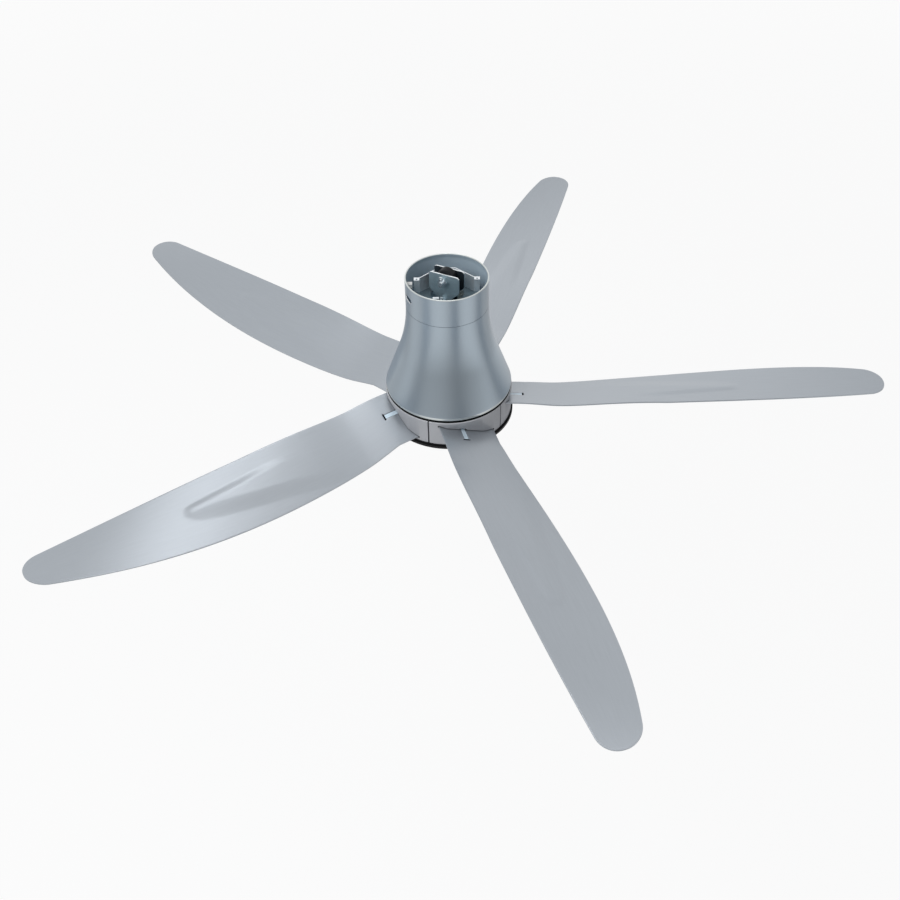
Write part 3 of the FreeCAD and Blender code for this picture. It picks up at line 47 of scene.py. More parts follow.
# Sizes that the looks share with the solids
BLADE_COUNT = 5
BLADE_PHASE = 23.28
BLADE_SEAT = -242.1
BLADE_THICKNESS = 2.0
ROOT_START = 91.2
BLADE_BASE = 134.0
BLADE_TIP = 750.0
BLADE_STATIONS = {
    # radius: lift, pitch
    ROOT_START: (0.0, 18.8),
    BLADE_BASE: (0.0, 18.8),
    195.0: (-4.2, 19.2),
    288.0: (0.0, 19.4),
    442.0: (7.9, 16.0),
    596.0: (15.8, 8.7),
    BLADE_TIP: (23.7, -2.0),
}
EDGE_REACH = {
    # share of the blade: leading edge, trailing edge
    0.0: (44.5, 51.5),
    0.25: (40.5, 74.0),
    0.5: (32.6, 85.2),
    0.75: (21.9, 79.3),
    1.0: (8.0, 46.0),
}
TIP_LENGTH = 28.0
TIP_OFFSET = 19.0
TIP_FULLNESS = 2.2
SLOT_END = 131.0
SLOT_SIDES = (-9.5, -0.5)
CROSS_SIDES = (-11.5, 1.5)
CROSS_WIDTH = 3.0
SWAGE_SIDES = {
    # radius: leading side, trailing side
    BLADE_BASE: (-24.0, 78.0),
    250.0: (-20.0, 72.0),
    340.0: (-13.0, 62.0),
    400.0: (-5.0, 56.0),
    450.0: (1.5, 50.0),
    503.0: (9.0, 40.0),
}
SWAGE_RISE = (180.0, 400.0)
LEAD_FLANK_RISE = (300.0, 400.0)
SWAGE_NOSE = 506.0
NOSE_CENTRE = 23.0
NOSE_HALF = 17.0
NOSE_ROUND = 10.0
SWAGE_HEIGHT = 2.4

CANOPY_RADIUS = 68.0
CANOPY_WALL = 1.2
CANOPY_HEIGHT = 51.0
SEAM_GAP = 0.6
NECK_HEIGHT = 6.0
NECK_GAP = 0.2
COVER_HEIGHT = 164.2
COVER_EDGE = 6.0
FLARE_RADIUS = 108.2
FLARE_STEEPNESS = 1.487
CHASSIS_DROP = 8.4
FLANGE_INNER = 50.0
FLANGE_THICKNESS = 1.6
SLOT_LENGTH = 25.0
SLOT_HEIGHT = 9.5
SLOT_DROP = 24.0
SLOT_ANGLE = -131.2
HOLDER_RADIUS = 109.5
HOLDER_TOP = -218.6
PLATE_INNER = 8.9
BRACKET_FLOOR = -32.0

# Trim that the looks add to the solids
LEAD_FLANK = 13.0
TRAIL_FLANK = 29.0
NOSE_FLANK = 12.0
FLANK_EASE = 0.3
RIM_LIP = 2.6
LOWER_RIM = 1.0
EDGE_BAND = 6.5
EDGE_BEND = 2.5
EDGE_ROLL = 3.2
INNER_ROLL_START = -60.0
ROOT_OPENING_DEPTH = 5.0
ROOT_OPENING_SIDE = 1.8
ROOT_OPENING_GAP = 1.2
LOCK_NOTCH = 3.4
EASED_EDGE = 0.3
EASED_SMALL = 0.1
EASED_LOCK = 0.25
EASED_HOLDER = 0.4
EASED_BLADE = 0.5
EASED_SEGMENTS = 2
CUTTER_REACH = 15.0

# Marked faces, most for painted light and shade: depths and slacks, the share of a normal that counts as
# turned a way or square to it, and the strength of the weaker marks, which paint highlight on the cover's
# band and the bracket's walls and shade on the bracket's floor
HIGHLIGHT_DEPTH = 13.0
GAP_LEDGE = 1.5
MOUTH_LEDGE = 1.0
MARK_SLACK = 0.1
NOTCH_SLACK = 0.01
FLOOR_SLACK = 1.0
TURNED = 0.3
SQUARE = 0.9
BAND_BARE_AND_HIGHLIGHT = 0.8
WALL_PAINTED_HIGHLIGHT = 0.6
FLOOR_PAINTED_SHADE = 0.5

# Fineness of the meshes; the two welds are metres
SHELL_STEPS = 192
LIP_STEPS = 12
SLOT_STEPS = 12
WALL_STEPS = 8
FLARE_STEPS = 20
CONE_STEPS = 14
BEND_STEPS = 4
ROLL_STEPS = 6
INNER_ROLL_STEPS = 8
INNER_FLARE_STEPS = 14
MOUTH_STEPS = 12
ROOT_ROWS = (100.0, 110.0, 120.0)
PLATE_ROWS = 110
TIP_ROWS = 14
LEAD_COLUMNS = 16
TRAIL_COLUMNS = 34
BLADE_UV_WIDTH = 0.13
CRISP_ANGLE = 32.0
BLADE_CRISP_ANGLE = 50.0
FLAT_ANGLE = 0.4
WELD = 1e-6
FINE_WELD = 1e-7

# The photograph's view, in metres; its level ways are ahead, away from the camera, and to the right
VIEW_TURN = math.radians(26.5)
AHEAD = (-math.sin(VIEW_TURN), math.cos(VIEW_TURN), 0.0)
RIGHT = (math.cos(VIEW_TURN), math.sin(VIEW_TURN), 0.0)
CAMERA_PLACE = (0.0, -1.3994, 0.9383)
CAMERA_LENS = 41.61
CAMERA_SENSOR = 36.0
CAMERA_DROP = 43.333
CAMERA_ROLL = -1.061
LAMP_TARGET = (0.0, 0.0, -0.15)

# Light that the glossy faces mirror: the sky, and a glow painted on the floor. A ramp gives its start and
# end, as a share of the direction in the sky and in metres on the floor, and its level at both.
LIGHT_TURN = math.radians(24.5)
LIGHT_COUNT = 4.5
LIGHT_FULLNESS = 1.6
SKY_LOW = (-0.6, 1.0, 0.34, 0.97)
SKY_SLANT = -0.09
SKY_LIGHTS = (0.0, 0.6, 0.06, 0.0)
SKY_HIGH = (0.42, 0.9, 0.85, 0.70)
SKY_OVER_CAMERA = 0.8
SKY_CHANGE = (0.25, 0.6, 0.0, 1.0)
FLOOR_LIGHTS = (1.4, 1.8, 0.0, 0.14)
FLOOR_LIGHTS_END = (0.5, 1.2, 1.0, 0.0)
FLOOR_FRONT = (-1.3, 1.3, 0.80, 0.54)
FLOOR_DIMMED = (-7.5, -1.8, 0.66, 1.0)
FLOOR_BEHIND = (0.4, 2.5, 0.0, 0.95)
FLOOR_WHITE = (2.5, 10.0, 0.9, 1.0)

# The floor's reach and level, and the room's soft light, which falls off to the right
FLOOR_REACH = 20000.0
FLOOR_LEVEL = -1300.0
ROOM_LIGHT = 0.50
ROOM_SLANT = -0.34


# Node trees


def add(tree, kind, inputs=None, **settings):
    """A node with its settings made and its inputs set or wired."""
    node = tree.nodes.new(kind)
    for name, value in settings.items():
        setattr(node, name, value)
    for key, value in (inputs or {}).items():
        if isinstance(value, bpy.types.NodeSocket):
            tree.links.new(value, node.inputs[key])
        else:
            node.inputs[key].default_value = value
    return node


def calculate(tree, operation, *values):
    """One step of arithmetic on numbers or sockets."""
    return add(tree, "ShaderNodeMath", dict(enumerate(values)), operation=operation).outputs[0]


def blend(tree, share, first, second):
    """A colour that gives way to a second one by a share."""
    return add(tree, "ShaderNodeMix", {0: share, 6: first, 7: second}, data_type="RGBA").outputs[2]


def new_group(name, kind, inputs, outputs):
    """A node group with named sockets, given as label: (socket type, default)."""
    tree = bpy.data.node_groups.new(name, kind)
    for label, (socket_type, default) in inputs.items():
        socket = tree.interface.new_socket(label, in_out="INPUT", socket_type=socket_type)
        if default is not None:
            socket.default_value = default
    for label, socket_type in outputs.items():
        tree.interface.new_socket(label, in_out="OUTPUT", socket_type=socket_type)
    return tree, tree.nodes.new("NodeGroupInput").outputs, tree.nodes.new("NodeGroupOutput").inputs


# Shared surface effects


def surface_grain():
    """Uneven tone, uneven gloss and a fine relief, from two sizes of noise."""
    fine_ratio, coarse_relief = 7.0, 0.4
    tree, given, result = new_group("surface_grain", "ShaderNodeTree", {
        "Vector": ("NodeSocketVector", None),
        "Colour": ("NodeSocketColor", (0.5, 0.5, 0.5, 1.0)),
        "Scale": ("NodeSocketFloat", 100.0),
        "Tone Spread": ("NodeSocketFloat", 0.05),
        "Roughness": ("NodeSocketFloat", 0.4),
        "Gloss Spread": ("NodeSocketFloat", 0.05),
    }, {"Colour": "NodeSocketColor", "Roughness": "NodeSocketFloat", "Height": "NodeSocketFloat"})
    coarse = add(tree, "ShaderNodeTexNoise", {"Vector": given["Vector"], "Scale": given["Scale"],
                                              "Detail": 4.0, "Roughness": 0.55}).outputs[0]
    tight = calculate(tree, "MULTIPLY", given["Scale"], fine_ratio)
    fine = add(tree, "ShaderNodeTexNoise", {"Vector": given["Vector"], "Scale": tight,
                                            "Detail": 2.0}).outputs[0]
    tone = calculate(tree, "SUBTRACT", coarse, 0.5)
    tone = calculate(tree, "MULTIPLY", tone, given["Tone Spread"])
    tone = calculate(tree, "MULTIPLY_ADD", tone, 2.0, 1.0)
    tinted = add(tree, "ShaderNodeHueSaturation", {"Value": tone, "Color": given["Colour"]}).outputs[0]
    gloss = calculate(tree, "SUBTRACT", fine, 0.5)
    gloss = calculate(tree, "MULTIPLY_ADD", gloss, given["Gloss Spread"], given["Roughness"])
    height = calculate(tree, "MULTIPLY_ADD", coarse, coarse_relief, fine)
    tree.links.new(tinted, result["Colour"])
    tree.links.new(gloss, result["Roughness"])
    tree.links.new(height, result["Height"])
    return tree


def settled_dust():
    """A thin pale film that gathers in patches on faces turned upwards."""
    tree, given, result = new_group("settled_dust", "ShaderNodeTree", {
        "Vector": ("NodeSocketVector", None),
        "Colour": ("NodeSocketColor", (0.5, 0.5, 0.5, 1.0)),
        "Amount": ("NodeSocketFloat", 0.1),
    }, {"Colour": "NodeSocketColor"})
    patches = add(tree, "ShaderNodeTexNoise", {"Vector": given["Vector"], "Scale": 35.0,
                                               "Detail": 5.0}).outputs[0]
    normal = add(tree, "ShaderNodeNewGeometry").outputs["Normal"]
    upward = add(tree, "ShaderNodeSeparateXYZ", {0: normal}).outputs["Z"]
    film = calculate(tree, "MULTIPLY", calculate(tree, "MAXIMUM", upward, 0.0), patches)
    film = calculate(tree, "MULTIPLY", film, given["Amount"])
    dusty = blend(tree, film, given["Colour"], (0.62, 0.60, 0.57, 1.0))
    tree.links.new(dusty, result["Colour"])
    return tree


GRAIN = surface_grain()
DUST = settled_dust()


# Materials


def spangle(tree, vector):
    """Faint crystal facets of a zinc plated sheet."""
    cells = add(tree, "ShaderNodeTexVoronoi", {"Vector": vector, "Scale": 260.0}).outputs["Color"]
    return add(tree, "ShaderNodeSeparateColor", {0: cells}).outputs[0]


def sheet_stack(tree, vector):
    """Thin stacked sheets, seen edge on."""
    return add(tree, "ShaderNodeTexWave", {"Vector": vector, "Scale": 620.0, "Distortion": 0.4},
               bands_direction="Z").outputs[1]


def wire_turns(tree, vector):
    """Wire turns laid side by side."""
    return add(tree, "ShaderNodeTexWave", {"Vector": vector, "Scale": 420.0, "Distortion": 1.2},
               bands_direction="DIAGONAL").outputs[1]


def board_tracks(tree, vector):
    """Conductor tracks under the board's lacquer."""
    return add(tree, "ShaderNodeTexBrick", {"Vector": vector, "Scale": 95.0, "Mortar Size": 0.03,
                                            "Bias": -0.2}).outputs[1]


def finish(name, colour, metallic, roughness, *, scale, tone, gloss, relief, stretch=(1, 1, 1),
           follow="Object", pattern=None, pattern_depth=0.0, dust=0.0, coat=0.0, specular=0.5):
    """A finish with uneven tone and gloss, fine relief and, where given, a pattern and a film of dust."""
    material = bpy.data.materials.new(name)
    material.use_nodes = True
    tree = material.node_tree
    tree.nodes.clear()
    place = add(tree, "ShaderNodeTexCoord").outputs[follow]
    vector = add(tree, "ShaderNodeMapping", {"Vector": place, "Scale": stretch}).outputs[0]
    grain = add(tree, "ShaderNodeGroup", node_tree=GRAIN)
    tree.links.new(vector, grain.inputs["Vector"])
    for label, value in (("Colour", (*colour, 1.0)), ("Scale", scale), ("Tone Spread", tone),
                         ("Roughness", roughness), ("Gloss Spread", gloss)):
        grain.inputs[label].default_value = value
    shade, height = grain.outputs["Colour"], grain.outputs["Height"]
    if pattern:
        mask = pattern(tree, vector)
        value = calculate(tree, "MULTIPLY_ADD", mask, pattern_depth, 1.0 - pattern_depth/2)
        shade = add(tree, "ShaderNodeHueSaturation", {"Value": value, "Color": shade}).outputs[0]
        height = calculate(tree, "MULTIPLY_ADD", mask, pattern_depth, height)
    if dust:
        film = add(tree, "ShaderNodeGroup", node_tree=DUST)
        tree.links.new(place, film.inputs["Vector"])
        tree.links.new(shade, film.inputs["Colour"])
        film.inputs["Amount"].default_value = dust
        shade = film.outputs["Colour"]
    bump = add(tree, "ShaderNodeBump", {"Strength": 0.5, "Distance": relief*MM, "Height": height})
    shader = add(tree, "ShaderNodeBsdfPrincipled", {
        "Base Color": shade, "Metallic": metallic, "Roughness": grain.outputs["Roughness"],
        "Normal": bump.outputs[0], "Coat Weight": coat, "Specular IOR Level": specular,
    })
    add(tree, "ShaderNodeOutputMaterial", {"Surface": shader.outputs[0]})
    return material


def masked_tones(material, **tones):
    """Give a finish its own tone on each kind of marked face; returns its tree, its shader and the masks."""
    tree = material.node_tree
    shader = next(node for node in tree.nodes if node.type == "BSDF_PRINCIPLED")
    colour = shader.inputs["Base Color"].links[0].from_socket
    masks = {}
    for name, tone in tones.items():
        masks[name] = add(tree, "ShaderNodeAttribute", attribute_name=name).outputs["Fac"]
        colour = blend(tree, masks[name], colour, (*tone, 1.0))
    tree.links.new(colour, shader.inputs["Base Color"])
    return tree, shader, masks


def masked_value(tree, shader, label, mask, change, value):
    """Change one of the shader's values where a mask lies."""
    tree.links.new(calculate(tree, "MULTIPLY_ADD", mask, change, value), shader.inputs[label])


def cover_finish():
    """Spun lacquered metal with fine vertical lines, dull inside; its rim and lower band get a lighter bare
    tone with painted highlight, and the slot's cut gets painted shade.
    """
    metallic, inner_metallic, inner_dullness = 0.95, 0.30, 0.25
    material = finish("cover_paint", (0.435, 0.505, 0.565), metallic, 0.30, scale=9.0, tone=0.05, gloss=0.06,
                      relief=0.01, stretch=(60, 1.5, 1), follow="UV")
    # lighter bare tone with painted highlight on the rim and lower band; painted shade, near black, in the
    # slot's cut
    tree, shader, masks = masked_tones(material, bare_edge=(0.72, 0.76, 0.75),
                                       inner_face=(0.49, 0.585, 0.655), cut_edge=(0.015, 0.016, 0.018))
    inner = masks["inner_face"]
    roughness = shader.inputs["Roughness"].links[0].from_socket
    masked_value(tree, shader, "Roughness", inner, inner_dullness, roughness)
    masked_value(tree, shader, "Metallic", inner, inner_metallic - metallic, metallic)
    return material


def sheet_finish():
    """Zinc plated sheet with faint facets, with painted highlight on its upturned sheared edges and walls
    and painted shade between the plates and on the bracket's floor.
    """
    material = finish("zinc_sheet", (0.30, 0.40, 0.45), 0.55, 0.40, scale=90.0, tone=0.10, gloss=0.12,
                      relief=0.02, pattern=spangle, pattern_depth=0.10)
    # painted highlight tone on upturned edges and walls, painted shade tone between the plates and on the
    # bracket's floor
    masked_tones(material, bare_edge=(0.93, 0.97, 1.0), inner_face=(0.04, 0.055, 0.07))
    return material


def steel_finish():
    """Bright plated steel; satin with a painted bluish-white reflection on the lock tongues, and painted
    shade where a lock lies below its blade.
    """
    metallic, tongue_metallic = 0.9, 0.15
    material = finish("bright_steel", (0.80, 0.86, 0.90), metallic, 0.22, scale=160.0, tone=0.06, gloss=0.14,
                      relief=0.02, stretch=(1, 1, 6))
    # painted bluish-white reflection tone on the tongues, painted shade tone where a lock lies below its
    # blade
    tree, shader, masks = masked_tones(material, bare_edge=(0.74, 0.88, 0.98),
                                       inner_face=(0.012, 0.013, 0.016))
    masked_value(tree, shader, "Metallic", masks["bare_edge"], tongue_metallic - metallic, metallic)
    return material


def holder_finish():
    """Moulded grey with painted shade, near black, in the blade's mouth and in the running gap under the
    motor cover.
    """
    material = finish("holder_grey", (0.435, 0.445, 0.468), 0.25, 0.40, scale=240.0, tone=0.04, gloss=0.10,
                      relief=0.04)
    # painted shade, near black, on the cut faces of the blade's mouth
    tree, shader, _ = masked_tones(material, cut_edge=(0.012, 0.012, 0.013))
    whole = add(tree, "ShaderNodeTexCoord").outputs["Object"]
    x, y, z = add(tree, "ShaderNodeSeparateXYZ", {0: whole}).outputs
    square = calculate(tree, "MULTIPLY_ADD", x, x, calculate(tree, "MULTIPLY", y, y))
    # painted shade, near black, on the ring's inner top faces in the running gap under the motor cover
    inside = calculate(tree, "LESS_THAN", calculate(tree, "SQRT", square), (HOLDER_RADIUS - GAP_LEDGE)*MM)
    above = calculate(tree, "GREATER_THAN", z, (HOLDER_TOP - GAP_LEDGE)*MM)
    painted_gap_shade = calculate(tree, "MULTIPLY", inside, above)
    colour = shader.inputs["Base Color"].links[0].from_socket
    tree.links.new(blend(tree, painted_gap_shade, colour, (0.01, 0.01, 0.011, 1.0)), shader.inputs["Base Color"])
    return material


LOOKS = {
    "silver_coat": finish("silver_coat", (0.455, 0.49, 0.53), 0.7, 0.35, scale=14.0, tone=0.05, gloss=0.16,
                          relief=0.03, stretch=(1.5, 22, 1), follow="UV"),
    "holder_grey": holder_finish(),
    "cover_paint": cover_finish(),
    "base_black": finish("base_black", (0.006, 0.006, 0.007), 0.0, 0.42, scale=300.0, tone=0.2, gloss=0.12,
                         relief=0.05, specular=0.2),
    "zinc_sheet": sheet_finish(),
    "bright_steel": steel_finish(),
    "roller_rubber": finish("roller_rubber", (0.004, 0.005, 0.008), 0.0, 0.42, scale=180.0, tone=0.3,
                            gloss=0.2, relief=0.08, specular=0.22),
    "clip_white": finish("clip_white", (0.80, 0.80, 0.78), 0.0, 0.42, scale=200.0, tone=0.03, gloss=0.08,
                         relief=0.03, dust=0.05),
    "bearing_steel": finish("bearing_steel", (0.66, 0.67, 0.69), 1.0, 0.12, scale=200.0, tone=0.04,
                            gloss=0.06, relief=0.01),
    "die_cast": finish("die_cast", (0.55, 0.56, 0.58), 0.9, 0.45, scale=130.0, tone=0.10, gloss=0.12,
                       relief=0.08),
    "core_steel": finish("core_steel", (0.22, 0.22, 0.24), 0.9, 0.42, scale=140.0, tone=0.08, gloss=0.10,
                         relief=0.05, pattern=sheet_stack, pattern_depth=0.35),
    "magnet_dark": finish("magnet_dark", (0.07, 0.07, 0.075), 0.4, 0.45, scale=220.0, tone=0.15, gloss=0.12,
                          relief=0.05),
    "winding_copper": finish("winding_copper", (0.62, 0.26, 0.10), 0.95, 0.28, scale=150.0, tone=0.08,
                             gloss=0.08, relief=0.10, pattern=wire_turns, pattern_depth=0.5),
    "insulator_white": finish("insulator_white", (0.74, 0.71, 0.62), 0.0, 0.45, scale=180.0, tone=0.04,
                              gloss=0.08, relief=0.04),
    "board_green": finish("board_green", (0.03, 0.20, 0.08), 0.0, 0.30, scale=120.0, tone=0.08, gloss=0.08,
                          relief=0.03, pattern=board_tracks, pattern_depth=0.35, coat=0.4),
    "part_black": finish("part_black", (0.03, 0.03, 0.032), 0.0, 0.45, scale=260.0, tone=0.2, gloss=0.10,
                         relief=0.04),
    "sink_alloy": finish("sink_alloy", (0.60, 0.61, 0.63), 1.0, 0.34, scale=120.0, tone=0.06, gloss=0.10,
                         relief=0.04, stretch=(1, 12, 1)),
}


# Pieces


def new_mesh(name, points, edges, faces):
    """A mesh from points in millimetres."""
    mesh = bpy.data.meshes.new(name)
    mesh.from_pydata([Vector(point)*MM for point in points], edges, faces)
    return mesh


def new_object(name, data):
    """An object in the scene with the given mesh, lamp or camera."""
    item = bpy.data.objects.new(name, data)
    bpy.context.scene.collection.objects.link(item)
    return item


def settle(item):
    """Make what an object's modifiers give its own plain mesh."""
    scene = bpy.context.evaluated_depsgraph_get()
    mesh = bpy.data.meshes.new_from_object(item.evaluated_get(scene), depsgraph=scene)
    item.modifiers.clear()
    item.data = mesh
    return item


def face_outwards(mesh, weld=WELD):
    """Join doubled points and turn every face outwards."""
    work = bmesh.new()
    work.from_mesh(mesh)
    bmesh.ops.remove_doubles(work, verts=work.verts, dist=weld)
    bmesh.ops.recalc_face_normals(work, faces=work.faces)
    work.to_mesh(mesh)
    work.free()


def smooth(mesh, angle=CRISP_ANGLE):
    """Smooth shading, with edges sharper than the angle kept crisp."""
    mesh.shade_smooth()
    mesh.set_sharp_from_angle(angle=math.radians(angle))


def mark(mesh, name, amount):
    """A mask on the faces: how far each one, given by its middle and its normal, is to be masked."""
    mask = mesh.attributes.new(name, "FLOAT", "FACE")
    for face in mesh.polygons:
        mask.data[face.index].value = float(amount(face.center/MM, face.normal))


def stand_for(item, slot, body, *nodes):
    """Hand a piece over: what it moves with and which solids it stands for; the finish slot it is given is
    not used.
    """
    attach(item, body)
    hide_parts(*nodes)


def slot_of(node):
    """The material slot of a solid."""
    return next(part["material_slot"] for part in frame["record"]["subparts"] if part["node"] == node)


def body_of(node):
    """The body that a solid moves with."""
    bodies = frame["record"]["behaviour"]["bodies"]
    return next(body for body, members in bodies.items() if node in members)


def prism(name, outline, levels, place):
    """A straight bar with the given outline between two levels, moved to its place."""
    count = len(outline)
    points = [(x, y, level) for level in levels for x, y in outline]
    faces = [list(range(count)), list(range(count, 2*count))]
    faces += [(k, (k + 1) % count, count + (k + 1) % count, count + k) for k in range(count)]
    mesh = new_mesh(name, points, [], faces)
    face_outwards(mesh)
    mesh.transform(place)
    return new_object(name, mesh)


def cut_by(item, cutters):
    """Let an object's mesh be cut by others."""
    for cutter in cutters:
        cut = item.modifiers.new(cutter.name, "BOOLEAN")
        cut.object = cutter
        cut.operation = "DIFFERENCE"


def ease_edges(item, width, angle):
    """Break the edges that are sharper than the angle by a small round."""
    bevel = item.modifiers.new("eased_edges", "BEVEL")
    bevel.width = width*MM
    bevel.segments = EASED_SEGMENTS
    bevel.limit_method = "ANGLE"
    bevel.angle_limit = math.radians(angle)
    return bevel


def eased(node, width=EASED_EDGE, cutters=()):
    """A copy of a solid with its flat faces joined, any cuts made and its edges eased; returns its mesh."""
    mesh = frame["nodes"][node].data.copy()
    work = bmesh.new()
    work.from_mesh(mesh)
    bmesh.ops.remove_doubles(work, verts=work.verts, dist=WELD)
    bmesh.ops.dissolve_limit(work, angle_limit=math.radians(FLAT_ANGLE), verts=work.verts, edges=work.edges)
    work.to_mesh(mesh)
    work.free()
    smooth(mesh)
    item = new_object(node + "_eased", mesh)
    cut_by(item, cutters)
    ease_edges(item, width, CRISP_ANGLE).harden_normals = True
    settle(item)
    for cutter in cutters:
        bpy.data.objects.remove(cutter)
    mesh = item.data
    mesh.materials.clear()
    mesh.materials.append(LOOKS[slot_of(node)])
    stand_for(item, slot_of(node), body_of(node), node)
    return mesh


# Geometry trees


def dress(tree, geometry, finish_socket, result):
    """End a geometry tree: plain geometry that wears its finish."""
    whole = add(tree, "GeometryNodeRealizeInstances", {"Geometry": geometry}).outputs[0]
    dressed = add(tree, "GeometryNodeSetMaterial", {"Geometry": whole, "Material": finish_socket}).outputs[0]
    tree.links.new(dressed, result)


def turned_shell_tree():
    """Sweep a half section, drawn in the XZ plane, once round the Z axis."""
    tree, given, result = new_group("turned_shell", "GeometryNodeTree", {
        "Section": ("NodeSocketGeometry", None),
        "Steps": ("NodeSocketInt", SHELL_STEPS),
        "Finish": ("NodeSocketMaterial", None),
    }, {"Shell": "NodeSocketGeometry"})
    count = add(tree, "GeometryNodeAttributeDomainSize", {0: given["Section"]}, component="MESH").outputs[0]
    columns = calculate(tree, "ADD", given["Steps"], 1.0)
    grid = add(tree, "GeometryNodeMeshGrid", {"Vertices X": columns, "Vertices Y": count})
    index = add(tree, "GeometryNodeInputIndex").outputs[0]
    station = calculate(tree, "MODULO", index, count)
    turn = calculate(tree, "FLOOR", calculate(tree, "DIVIDE", index, count))
    angle = calculate(tree, "MULTIPLY", calculate(tree, "DIVIDE", turn, given["Steps"]), math.tau)
    place = add(tree, "GeometryNodeInputPosition").outputs[0]
    point = add(tree, "GeometryNodeSampleIndex", {
        "Geometry": given["Section"], "Value": place, "Index": station,
    }, data_type="FLOAT_VECTOR").outputs[0]
    parts = add(tree, "ShaderNodeSeparateXYZ", {0: point}).outputs
    x = calculate(tree, "MULTIPLY", parts[0], calculate(tree, "COSINE", angle))
    y = calculate(tree, "MULTIPLY", parts[0], calculate(tree, "SINE", angle))
    swept = add(tree, "ShaderNodeCombineXYZ", {0: x, 1: y, 2: parts[2]}).outputs[0]
    moved = add(tree, "GeometryNodeSetPosition", {
        "Geometry": grid.outputs[0], "Position": swept,
    }).outputs[0]
    named = add(tree, "GeometryNodeStoreNamedAttribute", {
        "Geometry": moved, "Name": "UVMap", "Value": grid.outputs[1],
    }, data_type="FLOAT2", domain="CORNER").outputs[0]
    dress(tree, named, given["Finish"], result["Shell"])
    return tree


def round_the_axis_tree():
    """Copies of one piece, evenly spread round the Z axis."""
    tree, given, result = new_group("round_the_axis", "GeometryNodeTree", {
        "Piece": ("NodeSocketGeometry", None),
        "Count": ("NodeSocketInt", BLADE_COUNT),
        "Phase": ("NodeSocketFloat", 0.0),
        "Finish": ("NodeSocketMaterial", None),
    }, {"Set": "NodeSocketGeometry"})
    places = add(tree, "GeometryNodePoints", {"Count": given["Count"]}).outputs[0]
    index = add(tree, "GeometryNodeInputIndex").outputs[0]
    turn = calculate(tree, "DIVIDE", calculate(tree, "MULTIPLY", index, math.tau), given["Count"])
    angles = add(tree, "ShaderNodeCombineXYZ", {2: calculate(tree, "ADD", turn, given["Phase"])}).outputs[0]
    rotation = add(tree, "FunctionNodeEulerToRotation", {0: angles}).outputs[0]
    copies = add(tree, "GeometryNodeInstanceOnPoints", {
        "Points": places, "Instance": given["Piece"], "Rotation": rotation,
    }).outputs[0]
    dress(tree, copies, given["Finish"], result["Set"])
    return tree


def apply_tree(item, tree, **values):
    """Run a geometry tree on an object with its named inputs set, and keep the plain mesh."""
    modifier = item.modifiers.new(tree.name, "NODES")
    modifier.node_group = tree
    for socket in tree.interface.items_tree:
        if socket.in_out == "INPUT" and socket.name in values:
            modifier[socket.identifier] = values[socket.name]
    return settle(item)


TURNED_SHELL = turned_shell_tree()
ROUND_THE_AXIS = round_the_axis_tree()


# Turned shells


def arc(centre, radius, start, end, steps):
    """Points of an arc in a half section, from one angle to another, both included."""
    angles = [math.radians(start + (end - start)*step/steps) for step in range(steps + 1)]
    return [(centre[0] + radius*math.cos(angle), centre[1] + radius*math.sin(angle)) for angle in angles]


def run_down(start, end, steps):
    """Evenly spaced points on a straight wall, without its last one."""
    return [tuple(a + (b - a)*step/steps for a, b in zip(start, end)) for step in range(steps)]


def turned_shell(name, section, look):
    """A closed shell of revolution."""
    ring = section + section[:1]
    points = [(radius, 0.0, level) for radius, level in ring]
    edges = [(step, step + 1) for step in range(len(ring) - 1)]
    item = new_object(name, new_mesh(name, points, edges, []))
    apply_tree(item, TURNED_SHELL, Steps=SHELL_STEPS, Finish=LOOKS[look])
    face_outwards(item.data)
    smooth(item.data)
    return item


def canopy():
    """Straight collar with a rounded inward lip at its mouth and a fixing slot."""
    bore, lip = CANOPY_RADIUS - CANOPY_WALL, RIM_LIP/2
    section = arc((CANOPY_RADIUS - lip, -lip), lip, 180, 0, LIP_STEPS)
    section += run_down((CANOPY_RADIUS, -2*lip), (CANOPY_RADIUS, -CANOPY_HEIGHT), WALL_STEPS)
    section += [(CANOPY_RADIUS, -CANOPY_HEIGHT), (bore, -CANOPY_HEIGHT)]
    section += run_down((bore, -CANOPY_HEIGHT + LOWER_RIM), (bore, -2*RIM_LIP), WALL_STEPS)
    section += [(bore, -2*RIM_LIP), (CANOPY_RADIUS - RIM_LIP, -RIM_LIP)]
    item = turned_shell("canopy_collar", section, "cover_paint")
    half, straight = SLOT_HEIGHT/2, SLOT_LENGTH/2 - SLOT_HEIGHT/2
    outline = arc((straight, -SLOT_DROP), half, -90, 90, SLOT_STEPS)
    outline += arc((-straight, -SLOT_DROP), half, 90, 270, SLOT_STEPS)
    upright = Matrix.Rotation(math.radians(90), 4, "X")
    place = Matrix.Rotation(math.radians(SLOT_ANGLE + 90), 4, "Z") @ upright
    reach = (CANOPY_RADIUS - CUTTER_REACH, CANOPY_RADIUS + CUTTER_REACH)
    cutter = prism("slot_cutter", outline, reach, place)
    cut_by(item, [cutter])
    settle(item)
    bpy.data.objects.remove(cutter)
    smooth(item.data)
    # painted highlight: the rim lip gets a lighter bare-metal tone
    mark(item.data, "bare_edge", lambda middle, normal: middle.z > -lip)
    # painted shade: the fixing slot's cut faces are painted near black
    mark(item.data, "cut_edge", lambda middle, normal: abs(middle.z + SLOT_DROP) <= half
         and bore + MARK_SLACK < middle.xy.length < CANOPY_RADIUS - MARK_SLACK)
    mark(item.data, "inner_face", lambda middle, normal: middle.xy.length < bore + MARK_SLACK
         and middle.z <= -lip)
    stand_for(item, "cover_paint", "fixed_frame", "canopy")


